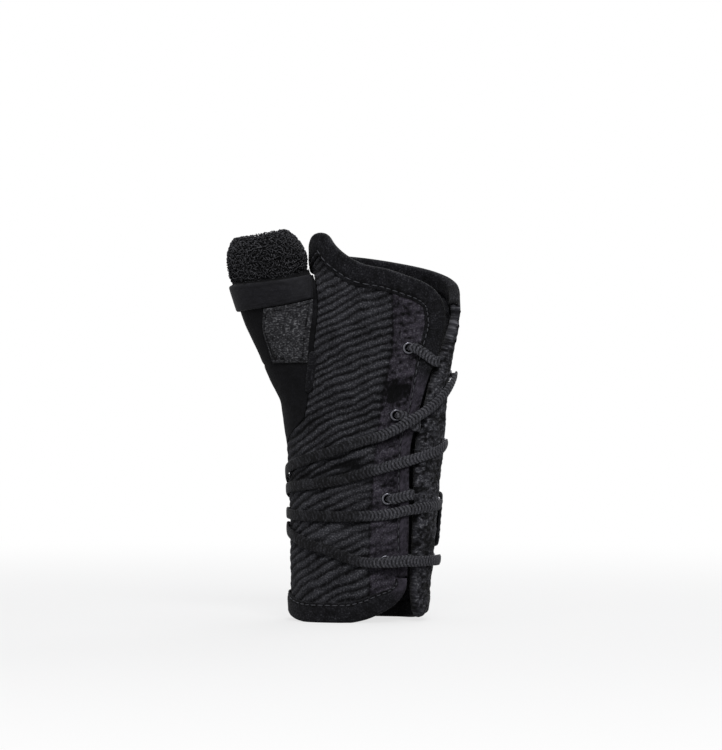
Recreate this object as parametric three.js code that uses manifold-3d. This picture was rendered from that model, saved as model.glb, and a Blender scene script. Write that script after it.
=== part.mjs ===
// Lace-up wrist and thumb splint for the left hand, in millimetres, +Z up.
// The palm side faces -Y, the thumb is at -X, and the splint stands on its forearm hem.

import * as THREE from 'three';
import { mergeVertices } from 'three/addons/utils/BufferGeometryUtils.js';
import Module from 'manifold-3d';

const wasm = await Module();
wasm.setup();

// Overall sizes
const splintHeight = 176.4;
const splintWidth = 105.3;
const forearmDepth = 48;
const palmDepth = 38;
const sectionFullness = 2.35;

// Cloth, binding and lining
const panelThickness = 2.2;
const liningThickness = 1.4;
const liningClearance = 0.6;
const bindingThickness = 0.9;
const palmBindingWidth = 8.6;
const edgeBindingWidth = 4.6;
const hemBindingWidth = 8.2;
const liningMargin = 7;
const clearance = 0.3;
const tapeClearance = 0.45;
const seamGap = 0.3;
const gussetGap = 0.6;
const laceGap = 2.8;
const footFlat = 0.35;
const cutOverrun = 4;

// Thumb pieces
const cuffThickness = 3;
const thumbDepth = 31;
const bandThickness = 1;
const bandClearance = 0.5;
const knitThickness = 0.8;
const thumbTabThickness = 1.4;

// Edge roll of the dorsal flap
const rollRise = 1.4;

// Eyelets and laces
const boreDiameter = 3;
const barrelDiameter = 3.8;
const flangeDiameter = 5.6;
const flangeThickness = 0.8;
const laceWidth = 4.7;
const laceThickness = 1;
const laceNeckWidth = 2.1;
const laceNeckThickness = 0.8;
const lacePitch = 5.4;
const laceClearance = 0.45;
const crossingLift = 1.4;
const bendReach = 2;

// Pull tab
const tabThickness = 1.2;
const hookThickness = 0.6;
const tabHeight = 25;

// Stays and their pockets
const stayThickness = 1.6;
const palmStayWidth = 19;
const palmStayNeckWidth = 15;
const palmStayLength = 130;
const dorsalStayWidth = 16;
const dorsalStayLength = 112;
const thumbStayWidth = 8;
const thumbStayLength = 46;
const thumbStayThickness = 1.2;
const pocketWall = 0.8;
const pocketClearance = 0.4;
const pocketSeat = 0.5;
const stayBase = 14;

// Outlines read from the front, as shares of the splint's height and width: [height, width]
const radialOutlineShares = [
  [0, 0.272], [0.07, 0.265], [0.3, 0.262], [0.42, 0.254], [0.5, 0.242], [0.56, 0.222],
  [0.62, 0.18], [0.7, 0.12], [0.76, 0.072], [0.82, 0.038], [0.89, 0.01], [1, 0.002],
];
const ulnarOutlineShares = [
  [0, 0.84], [0.08, 0.862], [0.17, 0.878], [0.3, 0.897], [0.43, 0.919], [0.54, 0.934],
  [0.62, 0.945], [0.7, 0.968], [0.78, 0.985], [0.86, 0.982], [1, 0.95],
];
const palmEdgeShares = [
  [0, 0.763], [0.07, 0.764], [0.19, 0.771], [0.3, 0.775], [0.37, 0.775], [0.45, 0.782],
  [0.51, 0.806], [0.59, 0.84], [0.65, 0.872], [0.69, 0.9], [0.757, 0.93], [0.82, 0.935],
];
const rollOpeningShares = [[0, 0.03], [0.07, 0.006], [0.12, 0], [0.68, 0], [0.74, 0.012], [0.82, 0.045]];
const thumbSeamShares = [
  [0.39, 0.266], [0.45, 0.3], [0.52, 0.328], [0.6, 0.35], [0.7, 0.368], [0.8, 0.385],
  [0.86, 0.378], [0.89, 0.364], [1, 0.36],
];
const crestShares = [0.56, 0.67];
const webEdgeShare = 0.357;
const hingeShare = 0.405;
const thumbTipShare = 0.39;
const gussetBaseShare = 0.42;
const seamBlend = 0.14;
const webBlend = 0.015;
const crotchShare = 0.889;
const webBlendShares = [0.72, 0.9];
const cuffLeftShares = [[0.7, 0.1], [0.8, 0.045], [0.889, 0.008], [0.93, 0.002], [0.968, 0.016], [1, 0.045]];
const cuffRightShares = [[0.7, 0.36], [0.8, 0.352], [0.889, 0.336], [0.93, 0.333], [0.968, 0.304], [1, 0.255]];
const cuffRimShares = [0.978, 1];
const bandTopShares = [0.861, 0.886];
const bandLowShares = [0.792, 0.826];
const bandShares = [-0.5, 0.97];
const knitShares = [0.55, 0.97];
const knitLowShare = 0.66;
const rollBottomShares = [[0, 0.03], [0.25, 0.012], [0.6, 0.014], [1, 0.04]];
const rollTopShares = [[0, 0.765], [0.4, 0.8], [0.8, 0.816], [1, 0.814]];
const innerLegShare = 0.8;
const hemSplitShare = 0.034;
const palmRows = 24;
const palmColumns = 18;
const flapColumns = 16;
const tapeTaperShares = [0.5, 0.66];
const hingeTapeShare = 0.94;
const flapTapeShare = 0.985;

// Panel ends, as shares of the way across the panel and of the splint's height: [across, height]
const palmTopShares = [
  [0, 0.956], [0.1, 0.978], [0.19, 0.993], [0.25, 0.99], [0.31, 0.966], [0.4, 0.937], [0.5, 0.914],
  [0.6, 0.9], [0.7, 0.882], [0.8, 0.866], [0.88, 0.848], [0.94, 0.826], [0.98, 0.797], [1, 0.757],
];
const palmBottomShares = [
  [0, 0.026], [0.12, 0.02], [0.3, 0.004], [0.4, 0], [0.62, 0], [0.74, 0.008], [0.84, 0.024],
  [0.92, 0.043], [0.97, 0.062], [1, 0.085],
];
const sideBottomShares = [[0, 0.026], [0.5, 0.006], [1, 0]];
const sideTopShares = [[0, 0.956], [0.5, 0.945], [1, 0.942]];
const flapBottomShares = [[0, 0.032], [0.2, 0.016], [0.45, 0], [1, 0]];
const flapTopShares = [[0, 0.815], [0.2, 0.86], [0.5, 0.91], [0.8, 0.935], [1, 0.942]];

// Angles round the body, in degrees: 0 faces the viewer, 90 is the little finger side
const radialSeamAngle = -100;
const backSeamAngle = -180;
const thumbSideAngle = -90;
const farRollAngle = 70;
const flapEyeletAngle = 80;
const tabRootAngle = 186;
const tabTipAngle = 88;
const crotchHalfAngle = 22;
const palmStayAngle = -7;
const dorsalStayAngle = 180;
const thumbLean = 1;
const eyeletSides = 10;

// Eyelets of the palm edge and of the flap, from the fingers down: [height share, width share]
const palmEyeletShares = [[0.698, 0.771], [0.528, 0.718], [0.316, 0.682], [0.158, 0.673]];
const flapEyeletShares = [0.63, 0.455, 0.302, 0.16];
const gapCrossingShares = [0.665, 0.5, 0.326, 0.16];

// Long lace runs: points on the front from the thumb side on, [width share, height share], the
// height where each rounds the thumb side, its place at the tab, and whether it crosses another
const laceRunShares = [
  { front: [[0.395, 0.426], [0.6, 0.466], [0.647, 0.474], [0.81, 0.53]], radial: 0.368, place: 1.5, raised: true },
  { front: [[0.438, 0.359], [0.622, 0.387], [0.776, 0.415]], radial: 0.332, place: 0.5, raised: false },
  { front: [[0.438, 0.271], [0.63, 0.273], [0.776, 0.289]], radial: 0.277, place: -0.5, raised: false },
  { front: [[0.412, 0.189], [0.6, 0.155], [0.771, 0.158]], radial: 0.24, place: -1.5, raised: true },
];
const longRunSteps = 34;
const riseAngles = { low: [22, 10], raised: [36, 24] };
const tabMiddleShare = 0.26;
const hookAngles = [92, 140];
const thumbTabShares = [-0.93, -0.52];
const stayShow = 0.06;
const thumbStayShares = [0.6, 0.85];
const thumbStaySeat = 6;

const clamp = THREE.MathUtils.clamp;
const mix = THREE.MathUtils.lerp;
const ease = (from, to, value) => THREE.MathUtils.smoothstep(value, from, to);
const heightAt = (share) => share * splintHeight;
const acrossAt = (share) => share * splintWidth - splintWidth / 2;

// Smooth curve through rows of [x, y] that never overshoots them
function curveThrough(rows) {
  const last = rows.length - 1;
  const slope = (i) => (rows[i + 1][1] - rows[i][1]) / (rows[i + 1][0] - rows[i][0]);
  const tangents = rows.map((row, i) => {
    if (i === 0 || i === last) return slope(Math.min(i, last - 1));
    const before = slope(i - 1);
    const after = slope(i);
    return before * after <= 0 ? 0 : (2 * before * after) / (before + after);
  });
  return (x) => {
    const at = clamp(x, rows[0][0], rows[last][0]);
    let i = 0;
    while (i < last - 1 && at > rows[i + 1][0]) i += 1;
    const span = rows[i + 1][0] - rows[i][0];
    const t = (at - rows[i][0]) / span;
    const rise = t * t * (3 - 2 * t);
    return mix(rows[i][1], rows[i + 1][1], rise)
      + span * t * (1 - t) * ((1 - t) * tangents[i] - t * tangents[i + 1]);
  };
}

const radialOutline = curveThrough(radialOutlineShares);
const ulnarOutline = curveThrough(ulnarOutlineShares);
const palmEdge = curveThrough(palmEdgeShares);
const rollOpening = curveThrough(rollOpeningShares);
const thumbSeam = curveThrough(thumbSeamShares);

// Section of the body at a height: a superellipse about its crest, with a half width to each side.
// Without the thumb, the thumb side draws in to the web between thumb and palm.
function sectionAt(z, withThumb) {
  const share = clamp(z / splintHeight, 0, 1);
  const crest = mix(crestShares[0], crestShares[1], share);
  const outline = radialOutline(share);
  const left = withThumb ? outline : mix(outline, webEdgeShare, ease(...webBlendShares, share));
  const front = -forearmDepth / 2;
  const back = mix(forearmDepth, palmDepth, share) + front;
  return {
    crestX: acrossAt(crest),
    left: (crest - left) * splintWidth,
    right: (ulnarOutline(share) - crest) * splintWidth,
    midY: (front + back) / 2,
    half: (back - front) / 2,
  };
}

function bodyPoint(angle, z, withThumb = false) {
  const { crestX, left, right, midY, half } = sectionAt(z, withThumb);
  const across = Math.sin(THREE.MathUtils.degToRad(angle));
  const facing = Math.cos(THREE.MathUtils.degToRad(angle));
  const sum = Math.abs(across) ** sectionFullness + Math.abs(facing) ** sectionFullness;
  const reach = sum ** (-1 / sectionFullness);
  return new THREE.Vector3(
    crestX + reach * across * (across < 0 ? left : right),
    midY - reach * facing * half,
    z,
  );
}

// Angle on the front face that shows at a share of the splint's width
function angleAt(widthShare, z, withThumb = false) {
  const { crestX, left, right } = sectionAt(z, withThumb);
  const offset = acrossAt(widthShare) - crestX;
  const ratio = Math.min(Math.abs(offset) / (offset < 0 ? left : right), 1);
  const facing = (1 - ratio ** sectionFullness) ** (1 / sectionFullness);
  return Math.sign(offset) * THREE.MathUtils.radToDeg(Math.atan2(ratio, facing));
}

// A surface is a function of two chart values. Its frame holds the point, both derivatives and
// the outward normal, by central differences.
function frameOn(surface, u, v, stepU, stepV) {
  const alongU = surface(u + stepU, v).sub(surface(u - stepU, v)).divideScalar(2 * stepU);
  const alongV = surface(u, v + stepV).sub(surface(u, v - stepV)).divideScalar(2 * stepV);
  const normal = alongU.clone().cross(alongV).normalize();
  return { point: surface(u, v), alongU, alongV, normal };
}

const angleStep = 0.5;
const heightStep = splintHeight / 1000;
const shareStep = 1 / 200;

const onBody = (angle, z) => frameOn(bodyPoint, angle, z, angleStep, heightStep);
const liftedBody = (angle, z, lift) => {
  const { point, normal } = onBody(angle, z);
  return point.addScaledVector(normal, lift);
};
const degreesFor = (length, angle, z) => length / onBody(angle, z).alongU.length();

const foldSteps = 4;
const foldReach = clearance + bindingThickness;

// Closed solid between an outer and an inner sheet that share one grid
function solidBetween({ rows, columns, wraps = false, outer, inner }) {
  const across = wraps ? columns : columns + 1;
  const positions = [];
  for (const sheet of [outer, inner]) {
    for (let i = 0; i <= rows; i += 1) {
      for (let j = 0; j < across; j += 1) positions.push(...sheet(i / rows, j / columns).toArray());
    }
  }
  const at = (sheet, i, j) => (sheet * (rows + 1) + i) * across + (j % across);
  const faces = [];
  const quad = (a, b, c, d) => faces.push(a, b, c, a, c, d);
  for (let i = 0; i < rows; i += 1) {
    for (let j = 0; j < columns; j += 1) {
      quad(at(0, i, j), at(0, i, j + 1), at(0, i + 1, j + 1), at(0, i + 1, j));
      quad(at(1, i, j), at(1, i + 1, j), at(1, i + 1, j + 1), at(1, i, j + 1));
    }
    if (!wraps) {
      quad(at(0, i, 0), at(0, i + 1, 0), at(1, i + 1, 0), at(1, i, 0));
      quad(at(0, i + 1, columns), at(0, i, columns), at(1, i, columns), at(1, i + 1, columns));
    }
  }
  for (let j = 0; j < columns; j += 1) {
    quad(at(0, 0, j + 1), at(0, 0, j), at(1, 0, j), at(1, 0, j + 1));
    quad(at(0, rows, j), at(0, rows, j + 1), at(1, rows, j + 1), at(1, rows, j));
  }
  return facingOut(positions, faces);
}

// Solid with its faces turned outward, whichever way its grid ran
function facingOut(positions, faces) {
  const corner = (k) => new THREE.Vector3().fromArray(positions, faces[k] * 3);
  let volume = 0;
  for (let k = 0; k < faces.length; k += 3) volume += corner(k).dot(corner(k + 1).cross(corner(k + 2)));
  if (volume < 0) faces.reverse();
  const geometry = new THREE.BufferGeometry();
  geometry.setAttribute('position', new THREE.Float32BufferAttribute(positions, 3));
  geometry.setIndex(faces);
  return geometry;
}

function toSolid(geometry) {
  const bare = geometry.clone();
  bare.deleteAttribute('normal');
  bare.deleteAttribute('uv');
  const merged = mergeVertices(bare);
  return new wasm.Manifold(new wasm.Mesh({
    numProp: 3,
    vertProperties: new Float32Array(merged.attributes.position.array),
    triVerts: new Uint32Array(merged.index.array),
  }));
}

function subtract(geometry, cutters) {
  let solid = toSolid(geometry);
  for (const cutter of cutters) solid = solid.subtract(toSolid(cutter));
  const { vertProperties, triVerts } = solid.getMesh();
  const cut = new THREE.BufferGeometry();
  cut.setAttribute('position', new THREE.Float32BufferAttribute(vertProperties, 3));
  cut.setIndex(Array.from(triVerts));
  return cut;
}

// Chart of a panel between two side edges and two end curves, from shares to [angle, height]
function panelChart({ leftAngle, rightAngle, bottom, top }) {
  return (u, v) => {
    const z = mix(bottom(u), top(u), v);
    return [mix(leftAngle(z), rightAngle(z), u), z];
  };
}

// Panel of cloth on the body, from a lift above the surface down to a depth below it
function clothPanel(chart, { rows, columns, lift = 0, depth }) {
  const sheet = (height) => (v, u) => liftedBody(...chart(u, v), height);
  return solidBetween({ rows, columns, outer: sheet(lift), inner: sheet(-depth) });
}

// Binding tape folded over a panel's edge. The path runs along the edge in chart values, and the
// tape's legs lie on both faces of the panel. side is 1 where the panel is left of the path.
function foldedTape(path, widthAt, side) {
  const bite = panelThickness / 2;
  const skins = [tapeClearance + bindingThickness, tapeClearance].map((gap) => {
    const points = [[1, gap], [2 / 3, gap], [1 / 3, gap]];
    for (let k = 0; k <= foldSteps; k += 1) {
      const turn = (Math.PI * k) / foldSteps;
      points.push([0, -bite + (bite + gap) * Math.cos(turn), (gap - tapeClearance + clearance) * Math.sin(turn)]);
    }
    for (const leg of [1 / 3, 2 / 3, 1]) points.push([leg * innerLegShare, -panelThickness - gap]);
    return points;
  });
  const count = path.length - 1;
  const stations = path.map(([angle, z], i) => {
    const frame = onBody(angle, z);
    const ahead = bodyPoint(...path[Math.min(i + 1, count)]);
    const run = ahead.sub(bodyPoint(...path[Math.max(i - 1, 0)])).normalize();
    const inward = frame.normal.clone().cross(run).multiplyScalar(side);
    const uu = frame.alongU.lengthSq();
    const vv = frame.alongV.lengthSq();
    const uv = frame.alongU.dot(frame.alongV);
    const u = inward.dot(frame.alongU);
    const v = inward.dot(frame.alongV);
    const det = uu * vv - uv * uv;
    return { angle, z, du: (u * vv - v * uv) / det, dv: (v * uu - u * uv) / det, width: widthAt(i / count) };
  });
  const columns = skins[0].length - 1;
  const skin = (points) => (i, j) => {
    const { angle, z, du, dv, width } = stations[Math.round(i * count)];
    const [leg, lift, beyond = 0] = points[Math.round(j * columns)];
    const inset = leg * width - beyond;
    const point = liftedBody(angle + du * inset, z + dv * inset, lift);
    point.z = Math.max(point.z, footFlat);
    return point;
  };
  return solidBetween({ rows: count, columns, outer: skin(skins[0]), inner: skin(skins[1]) });
}

// Chart edges of a panel as a path of points
function edgePath(chart, from, to, steps) {
  return Array.from({ length: steps + 1 }, (_, k) => {
    const t = k / steps;
    return chart(mix(from[0], to[0], t), mix(from[1], to[1], t));
  });
}

// Seams, as angles round the body at a height
const thumbSeamFront = (z) => {
  const share = z / splintHeight;
  const low = mix(radialSeamAngle, angleAt(thumbSeam(share), z), ease(thumbTipShare, thumbTipShare + seamBlend, share));
  return mix(low, thumbSideAngle, ease(crotchShare, crotchShare + webBlend, share));
};
const thumbSeamBack = (z) => {
  const share = z / splintHeight;
  const mirrored = backSeamAngle - angleAt(thumbSeam(share), z);
  const low = mix(radialSeamAngle, mirrored, ease(thumbTipShare, thumbTipShare + seamBlend, share));
  return mix(low, thumbSideAngle, ease(crotchShare, crotchShare + webBlend, share));
};
const hingeAngle = (z) => backSeamAngle - angleAt(hingeShare, z);
const palmEdgeAngle = (z) => angleAt(palmEdge(z / splintHeight), z);
const rollEdgeAngle = (z) => {
  const share = z / splintHeight;
  const open = angleAt(palmEdge(share) + rollOpening(share), z);
  return open + degreesFor(laceGap, open, z);
};
const moved = (seam, length) => (z) => seam(z) + degreesFor(length, seam(z), z);
const endCurve = (shares, inset) => {
  const curve = curveThrough(shares);
  return (u) => heightAt(curve(u)) + inset;
};

const palmChart = panelChart({
  leftAngle: moved(thumbSeamFront, seamGap / 2),
  rightAngle: moved(palmEdgeAngle, -foldReach),
  bottom: endCurve(palmBottomShares, foldReach),
  top: endCurve(palmTopShares, -foldReach),
});
const sideChart = panelChart({
  leftAngle: moved(thumbSeamBack, -seamGap / 2),
  rightAngle: moved(hingeAngle, seamGap / 2),
  bottom: endCurve(sideBottomShares, foldReach),
  top: endCurve(sideTopShares, -foldReach),
});
const flapChart = panelChart({
  leftAngle: (z) => farRollAngle + degreesFor(seamGap, farRollAngle, z),
  rightAngle: (z) => hingeAngle(z) + 360 - degreesFor(seamGap / 2, hingeAngle(z), z),
  bottom: endCurve(flapBottomShares, foldReach),
  top: endCurve(flapTopShares, -foldReach),
});

// Thumb section: an ellipse between two outlines of the sleeve, wider at the base than at the rim
const cuffLeft = curveThrough(cuffLeftShares);
const cuffRight = curveThrough(cuffRightShares);
function thumbRing(angle, z) {
  const share = z / splintHeight;
  const left = acrossAt(cuffLeft(share));
  const right = acrossAt(cuffRight(share));
  const { midY } = sectionAt(z, true);
  const turn = THREE.MathUtils.degToRad(angle);
  const slimming = (right - left) / (acrossAt(cuffRight(crotchShare)) - acrossAt(cuffLeft(crotchShare)));
  return new THREE.Vector3(
    (left + right) / 2 + ((right - left) / 2) * Math.sin(turn),
    midY - thumbLean - (thumbDepth / 2) * slimming * Math.cos(turn),
    z,
  );
}

// Surface of the thumb gusset, from -1 at its back seam over 0 on the thumb side to 1 at its
// front seam. It turns from the body's side into the thumb's ring, and ends on both seams.
function gussetPoint(u, z) {
  const front = thumbSeamFront(z);
  const back = thumbSeamBack(z);
  const wideFront = angleAt(thumbSeam(z / splintHeight), z, true);
  const wideEnd = u > 0 ? wideFront : backSeamAngle - wideFront;
  const low = ease(thumbTipShare, thumbTipShare + seamBlend, z / splintHeight);
  const ends = mix(radialSeamAngle, wideEnd, low);
  const middle = mix(radialSeamAngle, thumbSideAngle, low);
  const wide = (share) => bodyPoint(mix(middle, ends, share), z, true);
  const ring = (share) => thumbRing(thumbSideAngle + Math.sign(u) * share * (180 - crotchHalfAngle), z);
  const rounding = ease(webBlendShares[0], bandTopShares[0], z / splintHeight);
  const shape = (share) => wide(share).lerp(ring(share), rounding);
  const seat = bodyPoint(u > 0 ? front : back, z).sub(shape(1));
  const near = Math.abs(u);
  return shape(near).addScaledVector(seat, near ** 4);
}
const insideSeams = (u, z) => {
  const { alongU } = frameOn(gussetPoint, Math.sign(u) * (1 - shareStep), z, shareStep, heightStep);
  return u * (1 - Math.min(gussetGap / alongU.length(), 1 / 4));
};
const liftedGusset = (u, z, lift) => {
  const inside = clamp(u, -1 + shareStep, 1 - shareStep);
  const { normal } = frameOn(gussetPoint, inside, z, shareStep, heightStep);
  return gussetPoint(u, z).addScaledVector(normal, lift);
};

const splint = new THREE.Group();
const cloth = { color: 0x1b1b1e, roughness: 0.92, metalness: 0 };
const finishes = {
  ribbed: cloth,
  brushed: { ...cloth, color: 0x232326 },
  lining: { ...cloth, color: 0x303034 },
  knit: { ...cloth, color: 0x2b2b2e },
  pile: { ...cloth, color: 0x202023, roughness: 1 },
  strap: { ...cloth, color: 0x151517, roughness: 0.75 },
  lace: { ...cloth, color: 0x1d1d20, roughness: 0.7 },
  hook: { ...cloth, color: 0x0f0f10, roughness: 0.6 },
  nickel: { color: 0x2a2a2e, roughness: 0.25, metalness: 1 },
  aluminium: { color: 0xb9bcc0, roughness: 0.4, metalness: 1 },
};

function addPiece(name, geometry, finish) {
  const mesh = new THREE.Mesh(geometry, new THREE.MeshStandardMaterial(finish));
  mesh.name = name;
  splint.add(mesh);
  return mesh;
}

// Ring eyelet: a barrel through the cloth with a rolled flange on each face
function eyeletGeometry() {
  const bore = boreDiameter / 2;
  const barrel = barrelDiameter / 2;
  const flange = flangeDiameter / 2;
  const rise = clearance + flangeThickness;
  const foot = -panelThickness - clearance;
  const roll = flangeThickness / 3;
  const profile = [
    [bore, foot - flangeThickness + roll], [bore + roll, foot - flangeThickness],
    [flange, foot], [barrel, foot], [barrel, clearance],
    [flange, clearance], [flange - roll, rise], [bore + roll, rise], [bore, rise - roll],
  ].map(([x, y]) => new THREE.Vector2(x, y));
  return new THREE.LatheGeometry([...profile, profile[0]], eyeletSides);
}

function placedOn(geometry, angle, z) {
  const { point, normal } = onBody(angle, z);
  const turn = new THREE.Quaternion().setFromUnitVectors(new THREE.Vector3(0, 1, 0), normal);
  return geometry.clone().applyQuaternion(turn).translate(...point.toArray());
}

const eyeletHole = new THREE.CylinderGeometry(
  barrelDiameter / 2 + clearance,
  barrelDiameter / 2 + clearance,
  2 * (panelThickness + cutOverrun),
  eyeletSides,
);
const palmEyelets = palmEyeletShares.map(([height, width]) => {
  const z = heightAt(height);
  return [angleAt(width, z), z];
});
const flapEyelets = flapEyeletShares.map((height) => [flapEyeletAngle, heightAt(height)]);

const palmPanel = clothPanel(palmChart, { rows: palmRows, columns: palmColumns, depth: panelThickness });
const palmHoles = palmEyelets.map(([angle, z]) => placedOn(eyeletHole, angle, z));
addPiece('palmar_panel', subtract(palmPanel, palmHoles), finishes.ribbed);
addPiece('thumb_side_panel', clothPanel(sideChart, { rows: 24, columns: 5, depth: panelThickness }), finishes.ribbed);
const flapPanel = clothPanel(flapChart, { rows: 18, columns: flapColumns, depth: panelThickness });
const flapHoles = flapEyelets.map(([angle, z]) => placedOn(eyeletHole, angle, z));
addPiece('dorsal_panel', subtract(flapPanel, flapHoles), finishes.ribbed);

palmEyelets.forEach(([angle, z], i) => {
  addPiece(`palmar_eyelet_${i + 1}`, placedOn(eyeletGeometry(), angle, z), finishes.nickel);
});
flapEyelets.forEach(([angle, z], i) => {
  addPiece(`dorsal_eyelet_${i + 1}`, placedOn(eyeletGeometry(), angle, z), finishes.nickel);
});

// Bindings: one tape over the web and round the palm's top and ulnar edge, one round each hem
const webTape = edgePath(sideChart, [hingeTapeShare, 1], [0, 1], 4);
const palmTape = [
  ...webTape,
  ...edgePath(palmChart, [0, 1], [1, 1], palmColumns),
  ...edgePath(palmChart, [1, 1], [1, 1 / palmRows], palmRows - 1).slice(1),
];
const palmTapeWidth = (t) => mix(palmBindingWidth, edgeBindingWidth, ease(...tapeTaperShares, t));
addPiece('palm_binding', foldedTape(palmTape, palmTapeWidth, -1), finishes.brushed);
const hemTape = [
  ...edgePath(palmChart, [1, hemSplitShare], [1, 0], 2),
  ...edgePath(palmChart, [1, 0], [0, 0], palmColumns).slice(1),
  ...edgePath(sideChart, [0, 0], [hingeTapeShare, 0], 5),
];
addPiece('forearm_binding', foldedTape(hemTape, (t) => mix(edgeBindingWidth, hemBindingWidth, ease(0, 1 / 5, t)), -1),
  finishes.brushed);
const flapTopTape = edgePath(flapChart, [flapTapeShare, 1], [0, 1], flapColumns);
addPiece('dorsal_top_binding', foldedTape(flapTopTape, () => palmBindingWidth, 1), finishes.brushed);
const flapHemTape = edgePath(flapChart, [0, 0], [flapTapeShare, 0], flapColumns);
addPiece('dorsal_hem_binding', foldedTape(flapHemTape, () => hemBindingWidth, 1), finishes.brushed);

// Padded roll along the flap's ulnar edge, domed across its width
const rollBottom = curveThrough(rollBottomShares);
const rollTop = curveThrough(rollTopShares);
const rollChart = panelChart({
  leftAngle: rollEdgeAngle,
  rightAngle: () => farRollAngle,
  bottom: (u) => heightAt(rollBottom(u)),
  top: (u) => heightAt(rollTop(u)),
});
const dome = (t) => Math.sqrt(Math.max(1 - (2 * t - 1) ** 4, 0));
addPiece('dorsal_edge_roll', solidBetween({
  rows: 18,
  columns: 6,
  outer: (v, u) => liftedBody(...rollChart(u, v), rollRise * Math.min(dome(u), dome(v))),
  inner: (v, u) => liftedBody(...rollChart(u, v), -panelThickness),
}), finishes.brushed);

// Thumb: stretch gusset, knit patch, smooth band with its hook tab, and the pile cuff
const bandTop = (u) => heightAt(mix(bandTopShares[0], bandTopShares[1], u * u));
const bandLow = (u) => heightAt(mix(bandLowShares[0], bandLowShares[1], u * u));
const gussetBase = heightAt(gussetBaseShare);
function gussetPiece({ from, to, low, high, rows, columns, lift, depth }) {
  const sheet = (height) => (v, t) => {
    const u = mix(from, to, t);
    const z = mix(low(u), high(u), v);
    return liftedGusset(insideSeams(u, z), z, height);
  };
  return solidBetween({ rows, columns, outer: sheet(lift), inner: sheet(lift - depth) });
}
addPiece('thumb_gusset', gussetPiece({
  from: -1, to: 1, low: () => gussetBase, high: bandTop, rows: 18, columns: 14, lift: 0, depth: panelThickness,
}), finishes.knit);
addPiece('thumb_band', gussetPiece({
  from: bandShares[0], to: bandShares[1], low: bandLow, high: (u) => bandTop(u) - seamGap,
  rows: 2, columns: 16, lift: bandClearance + bandThickness, depth: bandThickness,
}), finishes.strap);
addPiece('thumb_knit_patch', gussetPiece({
  from: knitShares[0], to: knitShares[1], low: () => heightAt(knitLowShare), high: (u) => bandLow(u) - seamGap,
  rows: 5, columns: 6, lift: clearance + knitThickness, depth: knitThickness,
}), finishes.knit);

// Pile cuff: a closed ring whose rim leans up towards the palm
const cuffBase = (angle) => bandTop(Math.min(Math.abs(angle - thumbSideAngle) / (180 - crotchHalfAngle), 1)) + gussetGap;
const cuffRim = (angle) => heightAt(mix(cuffRimShares[0], cuffRimShares[1],
  (1 + Math.sin(THREE.MathUtils.degToRad(angle))) / 2));
const cuffSheet = (lift) => (v, t) => {
  const angle = thumbSideAngle - 180 + t * 360;
  const z = mix(cuffBase(angle), cuffRim(angle), v);
  const { point, normal } = frameOn(thumbRing, angle, z, angleStep, heightStep);
  return point.addScaledVector(new THREE.Vector3(normal.x, normal.y, 0).normalize(), lift);
};
addPiece('thumb_cuff', solidBetween({
  rows: 5, columns: 20, wraps: true, outer: cuffSheet(0), inner: cuffSheet(-cuffThickness),
}), finishes.pile);

// Linings, inside the bindings and clear of the lace runs
const liningChart = ({ left, right, low, high }) => panelChart({
  leftAngle: left, rightAngle: right, bottom: low, top: high,
});
const clothLining = (chart, rows, columns) => solidBetween({
  rows,
  columns,
  outer: (v, u) => liftedBody(...chart(u, v), -panelThickness - liningClearance),
  inner: (v, u) => liftedBody(...chart(u, v), -panelThickness - liningClearance - liningThickness),
});
const eyeletLine = curveThrough([...palmEyeletShares].reverse());
const palmLiningChart = liningChart({
  left: moved(thumbSeamFront, liningMargin),
  right: (z) => moved(() => angleAt(eyeletLine(z / splintHeight), z), -flangeDiameter)(z),
  low: (u) => palmChart(u, 0)[1] + hemBindingWidth + liningMargin,
  high: (u) => palmChart(u, 1)[1] - palmBindingWidth - 2 * liningMargin,
});
addPiece('palmar_lining', clothLining(palmLiningChart, 9, 10), finishes.lining);
const flapLiningChart = liningChart({
  left: (z) => flapEyeletAngle + degreesFor(flangeDiameter, flapEyeletAngle, z),
  right: (z) => flapChart(1, 0)[0] - degreesFor(liningMargin, flapEyeletAngle, z),
  low: (u) => flapChart(u, 0)[1] + hemBindingWidth + liningMargin / 2,
  high: (u) => flapChart(u, 1)[1] - palmBindingWidth - liningMargin,
});
addPiece('dorsal_lining', clothLining(flapLiningChart, 8, 10), finishes.lining);

// Laces: flat ribbons that run from the pull tab round the body, through an eyelet of the flap,
// across the gap to a palm eyelet, inside to the next one, and back the same way
const laceRest = laceClearance + laceThickness / 2;
const laceOverFlange = clearance + flangeThickness + laceRest;
const laceOverEdge = Math.max(tapeClearance + bindingThickness, rollRise) + laceRest;
const laceInside = -panelThickness - clearance - flangeThickness - laceRest;
const laceAtTab = clearance + hookThickness + clearance + tabThickness / 2;

const acrossHeading = 0;
const alongHeading = 90;
const laceStation = (angle, z, lift, heading = acrossHeading, neck = 0) => ({ angle, z, lift, heading, neck });

function longRun(rows, raised) {
  const route = curveThrough(rows);
  const [[root], [end]] = [rows[0], rows[rows.length - 1]];
  const top = laceOverEdge + (raised ? crossingLift : 0);
  return Array.from({ length: longRunSteps }, (_, k) => {
    const angle = mix(root, end, k / longRunSteps);
    const z = route(angle);
    const edge = palmEdgeAngle(z);
    const [far, near] = raised ? riseAngles.raised : riseAngles.low;
    const out = mix(laceRest, top, ease(edge - far, edge - near, angle));
    const seated = mix(out, laceOverFlange, ease(end - near, end, angle) * (raised ? 0 : 1));
    return laceStation(angle, z, mix(laceAtTab, seated, ease(root, root + near, angle)));
  });
}

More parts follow.
